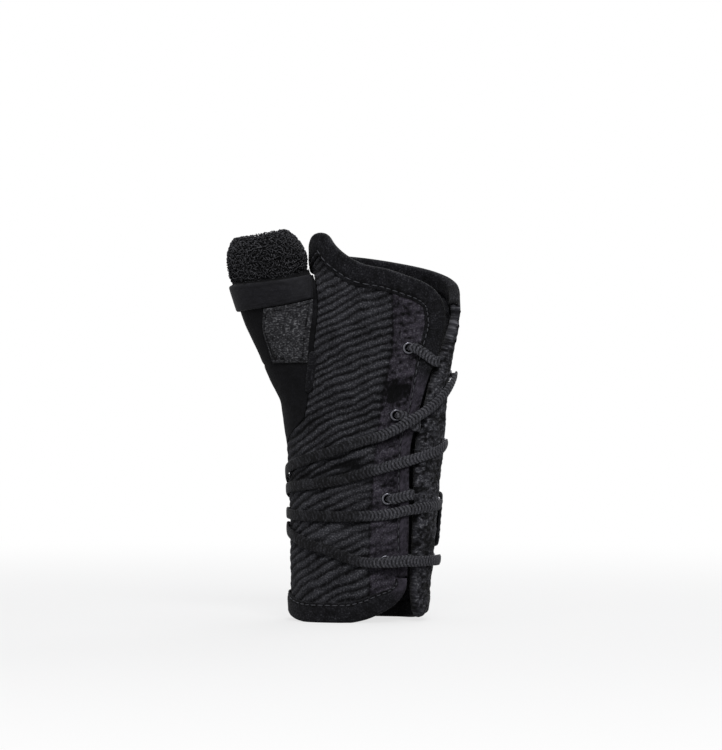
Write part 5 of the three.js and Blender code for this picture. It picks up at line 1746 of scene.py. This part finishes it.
@dataclass
class ThumbSleeve:
    """The stretch sleeve of the thumb with its band, knit patch, hook tab and pile cuff."""

    base_share: float = 0.394
    knit_low_share: float = 0.66
    top_overlap: float = 3.0
    tuck: float = 1.3
    curl_pitch: float = 1.1
    curl_radius: float = 0.66
    curl_yarn: float = 0.22

    def sleeve(self) -> Object:
        """Makes the gusset, with soft folds that fan out from the crotch and one sewn seam."""
        v, u = spread(201, 121, over=(-1, 1))
        z = mix(height_at(self.base_share), THUMB.band_top(u) + self.top_overlap, v)
        place = THUMB.inside_seams(u, z, 0.2)
        tucked = ease(-0.5, 0.8, z - THUMB.band_top(u))
        seam = bump(z - height_at(mix(0.645, 0.665, (u + 1) / 2)), 0.8)
        folds = 0.3 * soft_noise(u * 14, z, 11.0, 101) + 0.18 * soft_noise(u * 20 + z * 0.3, z, 4.5, 102)
        outer = THUMB.lifted(place, z, folds * (1 - tucked) - 0.35 * seam - self.tuck * tucked)
        inner = THUMB.lifted(thinned(place), thinned(z), -CLOTH)
        crown = 0.45 + 0.25 * soft_noise(u * 20, z, 1.4, 103) - 0.3 * seam
        skin = shell(outer, inner, np.stack([u * THUMB.HALF_GIRTH, z], -1), crown)
        piece = make_piece("thumb_sleeve", skin, STRETCH_CLOTH)
        return on_body(piece, Body.SHELL, "thumb_gusset")

    def cuff_form(self, angle: Array, turn: Array, swell: float) -> Array:
        """Returns points of the cuff: a soft closed section carried round the thumb's ring.

        The section is a superellipse of power 3 between the cuff's base and rim and between its
        faces, and swell widens it.
        """
        base, rim = THUMB.cuff_base(angle), THUMB.cuff_rim(angle)
        sine, cosine = signed_power(np.sin(turn), 2 / 3), signed_power(np.cos(turn), 2 / 3)
        z = (base + rim) / 2 + ((rim - base) / 2 - 0.5 + swell) * sine
        run = THUMB.ring(angle + 0.5, z) - THUMB.ring(angle - 0.5, z)
        out = unit(np.stack([run[..., 1], -run[..., 0], 0 * z], -1))
        return THUMB.ring(angle, z) + out * (-1.7 + (1.5 + swell) * cosine)[..., None]

    def even_turns(self, start: float, end: float, pitch: float) -> Array:
        """Returns turns of the cuff's section at an even spacing along it."""
        fine = np.linspace(start, end, 4000)
        chord = lengths_along(self.cuff_form(0 * fine, fine, 0.0))
        return np.interp(np.linspace(0, chord[-1], int(chord[-1] / pitch) + 1), chord, fine)

    def cuff(self) -> list[Object]:
        """Makes the cuff's body and the curls of its pile."""
        sides, pitch = 120, 1.2
        turns = self.even_turns(-math.pi / 2, 1.5 * math.pi, pitch)[:-1]
        angle, turn = np.meshgrid(np.arange(sides) * (360 / sides), turns, indexing="ij")
        uv = places_grid(np.arange(sides + 1) * 0.9, np.arange(len(turns) + 1) * pitch)
        # The cuff's body gets a low crown, so it is painted dark: painted shade among the curls.
        body = make_piece("cuff_body", ring_solid(self.cuff_form(angle, turn, 0.0), uv, 0.1), PILE_CLOTH)
        curls = make_piece("cuff_curls", self.curls(), PILE_CLOTH)
        return [on_body(body, Body.SHELL, "thumb_cuff"), on_body(curls, Body.SHELL)]

    def curls(self) -> Skin:
        """Returns the curls: short arcs of yarn that stand on the cuff, each in its own plane.

        A curl is most of a circle whose plane holds the surface's normal and a random tangent,
        drifting sideways as it turns. Its yarn has four sides.
        """
        random = np.random.default_rng(5)
        turns = self.even_turns(-1.75, 2.9, self.curl_pitch)
        columns = int(104 / self.curl_pitch)
        row, column = (index.ravel() for index in np.indices((len(turns), columns)))
        count = len(row)
        gap = np.gradient(turns)[row]
        turn = turns[row] + random.uniform(-0.4, 0.4, count) * gap
        angle = (column + 0.5 * (row % 2) + random.uniform(-0.45, 0.45, count)) * 360 / columns
        here = self.cuff_form(angle, turn, 0.0)
        out = unit(self.cuff_form(angle, turn, 0.4) - here)
        aside = unit(self.cuff_form(angle + 1, turn, 0.0) - here)
        spin = random.uniform(0, 2 * np.pi, (count, 1))
        flat = aside * np.cos(spin) + np.cross(out, aside) * np.sin(spin)
        lean = unit(out + 0.5 * np.cross(out, flat) * random.uniform(-1, 1, (count, 1)))
        drift = np.cross(flat, lean)
        radius = self.curl_radius * random.uniform(0.7, 1.25, (count, 1, 1))
        phi = np.linspace(-0.35, 1.35, 8)[None, :, None] * np.pi
        line = (here[:, None] + lean[:, None] * radius * (0.45 + np.sin(phi))
                + flat[:, None] * radius * np.cos(phi) + drift[:, None] * radius * 0.7 * (phi / np.pi - 0.5))
        run = unit(np.gradient(line, axis=1))
        wide = unit(np.cross(run, lean[:, None] + 0.01 * drift[:, None]))
        corner = section_turns(4)[:, None]
        ring = wide[:, :, None] * np.cos(corner) + np.cross(wide, run)[:, :, None] * np.sin(corner)
        # Each curl is painted darker at its feet and lighter over its top: painted shade in the pile and a
        # painted highlight on the curls; the random share per curl is its own tone.
        rise = np.clip(0.15 + 0.75 * (np.sin(phi) + 0.4), 0, 1)
        crown = rise * random.uniform(0.35, 1.1, (count, 1, 1)) + np.zeros((1, 1, 4))
        return tubes(line[:, :, None] + ring * self.curl_yarn, crown=crown)

    def seam_strip(self) -> Object:
        """Makes the soft strip that covers the thumb's seam on the palm side."""
        t = np.linspace(0, 1, 60)[:, None]
        z = height_at(mix(0.585, 0.69, t))
        turn = section_turns(16)
        middle = BODY.seam_front(z)
        end = np.sqrt(np.clip(1 - np.abs(2 * t - 1) ** 8, 0.02, 1))
        across = 1.9 * np.cos(turn) * end
        lift = 0.25 + 0.85 * np.sin(turn) * end + 0.08 * soft_noise(z, across, 2.0, 121)
        points = BODY.lifted(middle + BODY.degrees_for(1.0, middle, z) * across, z + 0 * turn, lift)
        crown = 0.55 + 0.3 * soft_noise(z, across, 0.9, 122)
        skin = tubes(points[None], places_grid(t[:, 0] * 19, np.arange(17) * 0.5), crown[None])
        return on_body(make_piece("thumb_seam_strip", skin, BRUSHED_CLOTH), Body.SHELL)

    def build(self) -> list[Object]:
        """Makes the sleeve's pieces."""
        low, top = THUMB.band_low, THUMB.band_top
        knit_low = steady(height_at(self.knit_low_share))
        made = [self.sleeve()]
        for patch, finish, slot, body, solid in (
            (Patch("thumb_band_strap", (-0.5, 0.97), low, top, (0, SEAM_GAP), 0.3, 1.3, 0.12),
             STRAP_CLOTH, Slot.STRAP, Body.SHELL, "thumb_band"),
            (Patch("knit_patch", (0.52, 0.97), knit_low, low, (0, SEAM_GAP), 0.1, 0.8, 0.2),
             KNIT_CLOTH, Slot.KNIT, Body.SHELL, "thumb_knit_patch"),
            (Patch("band_hook_tab", (-0.93, -0.52), low, top, (SEAM_GAP, 2 * SEAM_GAP), 0.5, 1.4),
             STRAP_CLOTH, Slot.STRAP, Body.BAND_TAB, "thumb_band_tab"),
        ):
            made.append(on_body(make_piece(patch.name, patch.skin(), finish), body, solid))
        return [*made, *self.cuff(), self.seam_strip()]


@dataclass
class Eyelets:
    """The eight ring eyelets: a rolled flange, a barrel and a back washer, turned smooth."""

    sides: int = 40
    wall: float = 0.4

    def profile(self) -> Array:
        """Returns the closed profile as radius and lift: a round roll outside, a barrel, and a
        flatter roll inside."""
        bore, flange = EYELET_BORE / 2, EYELET_FLANGE / 2
        middle, half = (bore + flange) / 2, (flange - bore) / 2
        face, foot = CLEARANCE, -CLOTH - CLEARANCE
        over = np.linspace(0, np.pi, 9)
        roll = np.clip(np.sin(over), 0, 1) ** 0.8
        top = np.stack([middle + half * np.cos(over), face + (FLANGE_RISE + 0.1) * roll], -1)
        under = np.stack([middle - half * np.cos(over), foot - FLANGE_RISE * roll], -1)
        return np.concatenate([top, under, [(bore + self.wall, foot), (bore + self.wall, face)]])

    def ring(self, angle: float, z: float) -> Skin:
        """Returns the profile turned round the surface's normal at a place."""
        centre, normal = BODY.point(angle, z), BODY.normal(angle, z)
        aside = unit(np.cross(normal, (0, 0, 1)))
        radius, lift = self.profile().T
        turn = (np.arange(self.sides) * 2 * np.pi / self.sides)[:, None, None]
        around = aside * np.cos(turn) + np.cross(normal, aside) * np.sin(turn)
        points = centre + around * radius[None, :, None] + normal * lift[None, :, None]
        uv = places_grid(np.arange(self.sides + 1) * self.wall, np.arange(len(radius) + 1) * self.wall)
        return ring_solid(points, uv)

    def build(self) -> list[Object]:
        """Makes the eyelets of the palm's edge and of the flap."""
        made = []
        for side, body, places in (("palmar", Body.SHELL, PALM_EYELETS), ("dorsal", Body.FLAP, FLAP_EYELETS)):
            for i, (angle, z) in enumerate(places, 1):
                piece = make_piece(f"{side}_eyelet_ring_{i}", self.ring(angle, z), BLACK_NICKEL,
                                   50)
                made.append(on_body(piece, body, f"{side}_eyelet_{i}"))
        return made


@dataclass
class PullTab:
    """The strap that the laces end in, with its stitching and the hook patch under it."""

    base: float = 1.2
    thickness: float = 1.2
    corner: float = 6.0
    seam_inset: float = 2.4
    stitch_pitch: float = 3.2
    stitch_length: float = 2.2
    thread: float = 0.22
    patch_angles: tuple = (92, 140)
    patch_margin: float = 1.5

    def __post_init__(self) -> None:
        """Works out the strap's middle height and the lengths along it."""
        self.middle = height_at(TAB_MIDDLE_SHARE)
        self.angles = np.linspace(TAB_TIP, TAB_ROOT, 400)
        self.lengths = lengths_along(BODY.point(self.angles, self.middle))

    def half_height(self, length: Array) -> Array:
        """Returns half the strap's height, which shrinks at the tip as a quarter circle does."""
        in_corner = np.clip(1 - length / self.corner, 0, 1)
        return TAB_HEIGHT / 2 - self.corner * (1 - np.sqrt(1 - in_corner**2 * 0.998))

    def strap(self) -> Skin:
        """Returns the strap, with a groove where it is stitched."""
        v, length = spread(61, 181, (-1, 1), (0, self.lengths[-1]))
        angle = np.interp(length, self.lengths, self.angles)
        half = self.half_height(length)
        z = self.middle + v * half
        inset = np.minimum((1 - np.abs(v)) * half, length)
        lines = bump(inset - self.seam_inset, 0.45)
        lift = self.base + self.thickness * (0.1 + 0.9 * rounded(inset, 1.1)) - 0.16 * lines
        outer = BODY.lifted(angle, z, lift)
        inner = BODY.lifted(thinned(angle), thinned(z), self.base)
        crown = 0.5 + 0.25 * soft_noise(length, z, 1.0, 131) - 0.4 * lines
        return shell(outer, inner, np.stack([length, z], -1), crown)

    def stitches(self) -> Skin:
        """Returns the strap's stitches, in a row along each long edge and one across the tip."""
        t = np.linspace(-1, 1, 6)
        dash = t * self.stitch_length / 2
        along = np.arange(self.corner, self.lengths[-1] - 2, self.stitch_pitch)[:, None] + dash
        up = np.arange(-8, 8.1, self.stitch_pitch)[:, None] + dash
        rows = [(along, self.middle + side * (TAB_HEIGHT / 2 - self.seam_inset)) for side in (-1, 1)]
        rows.append((self.seam_inset, self.middle + up))
        lift = self.base + self.thickness - 0.1 + 0.12 * (1 - t**2)
        made = []
        for length, z in rows:
            angle = np.interp(length, self.lengths, self.angles)
            line, above = (BODY.lifted(angle, z, lift + rise) for rise in (0, 1))
            made.append(threads(line, above, t, self.thread))
        return joined(made)

    def patch(self) -> Skin:
        """Returns the hook patch: a thin plate, and rows of small leaning hooks on its inner face."""
        v, u = spread(25, 61, (-1, 1))
        reach = TAB_HEIGHT / 2 - self.patch_margin
        angle, z = mix(*self.patch_angles, u), self.middle + v * reach
        outer, inner = BODY.lifted(angle, z, 0.88), BODY.lifted(angle, z, 0.62)
        plate = shell(outer, inner, np.stack([BODY.arc(angle, z), z], -1))
        v, u = (grid.ravel()[:, None] for grid in spread(18, 26, (-0.94, 0.94), (0.03, 0.97)))
        angle, z = mix(*self.patch_angles, u), self.middle + v * reach
        t = np.linspace(0, 1, 4)
        ahead = BODY.degrees_for(1.0, angle, z) * 0.35 * np.sin(t * np.pi * 0.9)
        line = BODY.lifted(angle + ahead, z, 0.66 - 0.34 * t)
        corner = section_turns(4)[:, None]
        up = np.array([0, 0, 1.0])
        aside = unit(np.cross(up, BODY.normal(angle, z)))
        ring = (aside[:, :, None] * np.cos(corner) + up * np.sin(corner)) * 0.15
        return joined([plate, tubes(line[:, :, None] + ring)])

    def build(self) -> list[Object]:
        """Makes the strap, its stitches and its patch."""
        strap = make_piece("pull_strap", self.strap(), STRAP_CLOTH)
        thread = make_piece("pull_strap_stitches", self.stitches(), THREAD)
        patch = make_piece("hook_patch", self.patch(), HOOK_CLOTH)
        return [on_body(strap, Body.PULL_TAB, "pull_tab"), on_body(thread, Body.PULL_TAB),
                on_body(patch, Body.PULL_TAB, "pull_tab_hook")]


@dataclass
class Linings:
    """The two padded linings."""

    clearance: float = 0.6
    thickness: float = 1.4
    margin: float = 7.0

    def eyelet_line(self, z: Array) -> Array:
        """Returns the angle of the line through the palm's eyelets."""
        return BODY.angle_at(PALM_EYELET_LINE(z / HEIGHT), z)

    def flap_end(self, z: Array) -> Array:
        """Returns the angle where the flap's lining ends, a margin short of the hinge."""
        return FLAP_CHART.right(z) - BODY.degrees_for(self.margin, FLAP_EYELETS_AT, z)

    def palm_chart(self) -> Chart:
        """Returns the palm lining's map, inside the tapes and clear of the laces."""
        return Chart(BODY.moved(BODY.seam_front, self.margin), BODY.moved(self.eyelet_line, -EYELET_FLANGE),
                     raised(PALM_CHART.bottom, HEM_TAPE_WIDTH + self.margin),
                     raised(PALM_CHART.top, -PALM_TAPE_WIDTH - 2 * self.margin))

    def flap_chart(self) -> Chart:
        """Returns the flap lining's map."""
        return Chart(BODY.moved(steady(FLAP_EYELETS_AT), EYELET_FLANGE), self.flap_end,
                     raised(FLAP_CHART.bottom, HEM_TAPE_WIDTH + self.margin / 2),
                     raised(FLAP_CHART.top, -PALM_TAPE_WIDTH - self.margin))

    def pad(self, chart: Chart, seed: int, rows: int = 121, columns: int = 81) -> Skin:
        """Returns a lining: its inner face swells inside the stitched border and thins at it."""
        angle, z = chart.grid(rows, columns)
        inset = chart.inset(rows, columns)
        sewn = bump(inset - 3.2, 0.6)
        arc = BODY.arc(angle, z)
        face = (self.thickness * (0.35 + 0.65 * rounded(inset, 2.2)) - 0.4 * sewn
                + 0.12 * soft_noise(arc, z, 9.0, seed))
        inside = BODY.lifted(angle, z, -CLOTH - self.clearance - face)
        outside = BODY.lifted(thinned(angle), thinned(z), -CLOTH - 0.1)
        crown = 0.5 + 0.25 * soft_noise(arc, z, 1.2, seed + 1) - 0.4 * sewn
        return shell(inside, outside, np.stack([arc, z], -1), crown)

    def build(self) -> list[Object]:
        """Makes the linings."""
        palm = make_piece("palm_lining", self.pad(self.palm_chart(), 141), LINING_CLOTH)
        flap = make_piece("flap_lining", self.pad(self.flap_chart(), 151), LINING_CLOTH)
        made = [on_body(palm, Body.SHELL, "palmar_lining"), across_seam(flap, "dorsal_lining")]
        return made


@dataclass
class StaySleeves:
    """The cloth sleeves round the stays, and the stays' own finish."""

    sides: int = 48
    rings: int = 60
    share: float = 0.94
    outside_gap: float = 1.05
    inside_gap: float = 0.35
    edge_radius: float = 0.35

    def axes(self, node: Object) -> tuple[Array, Array, Array]:
        """Returns a bar's middle, its axes from longest to thinnest, and its sizes along them.

        The axes are the singular vectors of its points, less their mean.
        """
        points = np.zeros(len(node.data.vertices) * 3)
        node.data.vertices.foreach_get("co", points)
        points = points.reshape(-1, 3) / MM - SHIFT
        mean = points.mean(0)
        axes = np.linalg.svd(points - mean, full_matrices=False)[2]
        axes = axes * np.where(axes[:, 2:] < 0, -1, 1)
        reach = (points - mean) @ axes.T
        middle = mean + (reach.min(0) + reach.max(0)) / 2 @ axes
        return middle, axes, np.ptp(reach, axis=0)

    def sleeve(self, name: str, stay: str, open_above: bool) -> Object:
        """Makes a cloth sleeve round a stay, open at one end.

        Its section is a superellipse, carried up outside, over the open end and back down inside.

        Args:
            name: The piece's name.
            stay: The node of the stay that it holds.
            open_above: Whether its upper end is the open one.

        Returns:
            The sleeve.
        """
        middle, (long_axis, wide_axis, thin_axis), (length, width, depth) = self.axes(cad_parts[stay])
        way = 1 if open_above else -1
        t = np.linspace(0, 1, self.rings)
        climb = np.concatenate([t, t[::-1]]) * self.share * length
        gap = np.repeat([self.outside_gap, self.inside_gap], self.rings)
        near = np.clip(1 - climb / 2, 0, 1)
        place = way * (climb - length / 2 - near * np.where(gap > 1, 1.0, 0.3))
        slim = np.sqrt(1 - 0.85 * near**2)
        turn = section_turns(self.sides)
        cosine, sine = signed_power(np.cos(turn), 0.4), signed_power(np.sin(turn), 0.7)
        wide, thin = (width / 2 + gap + 0.3) * slim, (depth / 2 + gap) * slim
        points = (middle + long_axis * place[:, None, None] + wide_axis * (wide[:, None] * cosine)[..., None]
                  + thin_axis * (thin[:, None] * sine)[..., None])
        crown = 0.5 + 0.3 * soft_noise(place[:, None], turn * 4, 1.2, 161)
        skin = tubes(points[None], places_grid(place, np.arange(self.sides + 1) * 0.8), crown[None])
        return make_piece(name, skin, LINING_CLOTH)

    def build(self) -> list[Object]:
        """Makes the sleeves, and gives each stay its metal and slightly rounded edges."""
        for name in ("palmar_stay", "dorsal_stay", "thumb_stay"):
            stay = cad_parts[name]
            stay.data.materials.clear()
            stay.data.materials.append(material_of(STAY_METAL))
            stay.modifiers.new("weld", "WELD").merge_threshold = 0.00001
            bevel = stay.modifiers.new("edges", "BEVEL")
            bevel.width, bevel.segments, bevel.limit_method = self.edge_radius * MM, 2, "ANGLE"
            bevel.angle_limit = math.radians(50)
        return [on_body(self.sleeve(name, stay, open_above), body, f"{stay}_pocket")
                for name, stay, open_above, body in (
                    ("palm_stay_sleeve", "palmar_stay", True, Body.SHELL),
                    ("flap_stay_sleeve", "dorsal_stay", True, Body.FLAP),
                    ("thumb_stay_sleeve", "thumb_stay", False, Body.SHELL))]


@dataclass
class Studio:
    """Camera, lamps, white surroundings and the pale floor."""

    distance: float = 1.6
    lens: float = 169.6
    near: float = 0.15
    far: float = 0.8
    aim: tuple = (0.0074, 0.1107)
    lit_place: tuple = (0, 0, 0.09)
    surround: float = 0.18
    least_glow: float = 0.72

    def camera(self) -> None:
        """Puts the camera level in front of the palm."""
        data = bpy.data.cameras.new("camera")
        data.lens, data.sensor_width = self.lens, 36.0
        data.clip_start, data.clip_end = 0.05, 20
        made = in_scene("camera", data)
        made.location = (self.aim[0], -self.distance, self.aim[1])
        made.rotation_euler = (math.radians(90), 0, 0)
        bpy.context.scene.camera = made

    def lamp(self, name: str, place: tuple, size: float, power: float) -> None:
        """Hangs a soft square lamp that faces the splint's middle."""
        data = bpy.data.lights.new(name, "AREA")
        data.size, data.energy = size, power
        made = in_scene(name, data)
        made.location = place
        made.rotation_euler = (Vector(self.lit_place) - Vector(place)).to_track_quat("-Z", "Y").to_euler()

    def seen_directly(self, tree: NodeTree) -> NodeSocket:
        """Returns 1 for rays from the camera, from a mirror and through glass, and 0 for others."""
        path = add_node(tree, "ShaderNodeLightPath")
        first = add_node(tree, "ShaderNodeMath", {"operation": "MAXIMUM"}, {
            0: path.outputs["Is Camera Ray"], 1: path.outputs["Is Glossy Ray"]}).outputs[0]
        return add_node(tree, "ShaderNodeMath", {"operation": "MAXIMUM"}, {
            0: first, 1: path.outputs["Is Transmission Ray"]}).outputs[0]

    def world(self) -> None:
        """Makes the surroundings white to the eye and a soft grey to the object."""
        world = bpy.data.worlds.new("surroundings")
        world.use_nodes = True
        bpy.context.scene.world = world
        tree = world.node_tree
        back = tree.nodes["Background"]
        back.inputs["Color"].default_value = hex_colour("#f4f6fa")
        back.inputs["Strength"].default_value = self.surround
        white = add_node(tree, "ShaderNodeBackground", inputs={"Color": (1, 1, 1, 1), "Strength": 1.0})
        both = add_node(tree, "ShaderNodeMixShader", inputs={
            0: self.seen_directly(tree), 1: back.outputs[0], 2: white.outputs[0]})
        tree.links.new(both.outputs[0], tree.nodes["World Output"].inputs["Surface"])

    def floor(self) -> None:
        """Lays the pale floor, which glows to the eye so that only the shadow is grey.

        The glow's share grows to all of it between the near and the far distance, so the floor
        runs into the white surroundings without a horizon.
        """
        side = 6.0
        mesh = bpy.data.meshes.new("floor")
        mesh.from_pydata([(-side, -side, 0), (side, -side, 0), (side, side, 0), (-side, side, 0)], [],
                         [(0, 1, 2, 3)])
        floor = in_scene("floor", mesh)
        material, tree, shader = new_material("pale_studio_floor")
        shader.inputs["Base Color"].default_value = hex_colour("#e9e9ea")
        shader.inputs["Roughness"].default_value = 0.95
        place = add_node(tree, "ShaderNodeTexCoord").outputs["Object"]
        distance = add_node(tree, "ShaderNodeVectorMath", {"operation": "LENGTH"},
                            {0: place}).outputs["Value"]
        share = add_node(tree, "ShaderNodeMapRange", {"interpolation_type": "SMOOTHSTEP"}, {
            "Value": distance, 1: self.near, 2: self.far, 3: self.least_glow, 4: 1.0}).outputs[0]
        glow = add_node(tree, "ShaderNodeEmission", inputs={
            "Color": (1, 1, 1, 1), "Strength": self.seen_directly(tree)})
        both = add_node(tree, "ShaderNodeMixShader", inputs={
            0: share, 1: shader.outputs[0], 2: glow.outputs[0]})
        tree.links.new(both.outputs[0], tree.nodes["Material Output"].inputs["Surface"])
        mesh.materials.append(material)

    def build(self) -> None:
        """Sets the whole studio."""
        self.camera()
        self.lamp("key_lamp", (0.15, -1.05, 1.05), 0.5, 8.4)
        self.lamp("fill_lamp", (-1.0, -0.9, 0.4), 0.8, 1.5)
        self.lamp("top_lamp", (0.1, 0.1, 1.2), 0.7, 3.0)
        self.lamp("back_lamp", (0.5, 1.1, 0.6), 0.9, 6.0)
        self.world()
        self.floor()
        bpy.context.scene.view_settings.view_transform = "Standard"


def main() -> None:
    """Builds the studio and the splint's pieces in order."""
    logging.basicConfig(level=logging.INFO, format="%(name)s: %(message)s")
    LOG.info("shift %s", SHIFT.round(4))
    Studio().build()
    makers = (ClothPanels, SeamStrips, Bindings, EdgeRoll, ThumbSleeve, Eyelets, Laces, PullTab, Linings,
              StaySleeves)
    for maker in makers:
        for piece in maker().build():
            LOG.info("%s: %d faces", piece.name, len(piece.data.polygons))


if __name__ == "__main__":
    main()
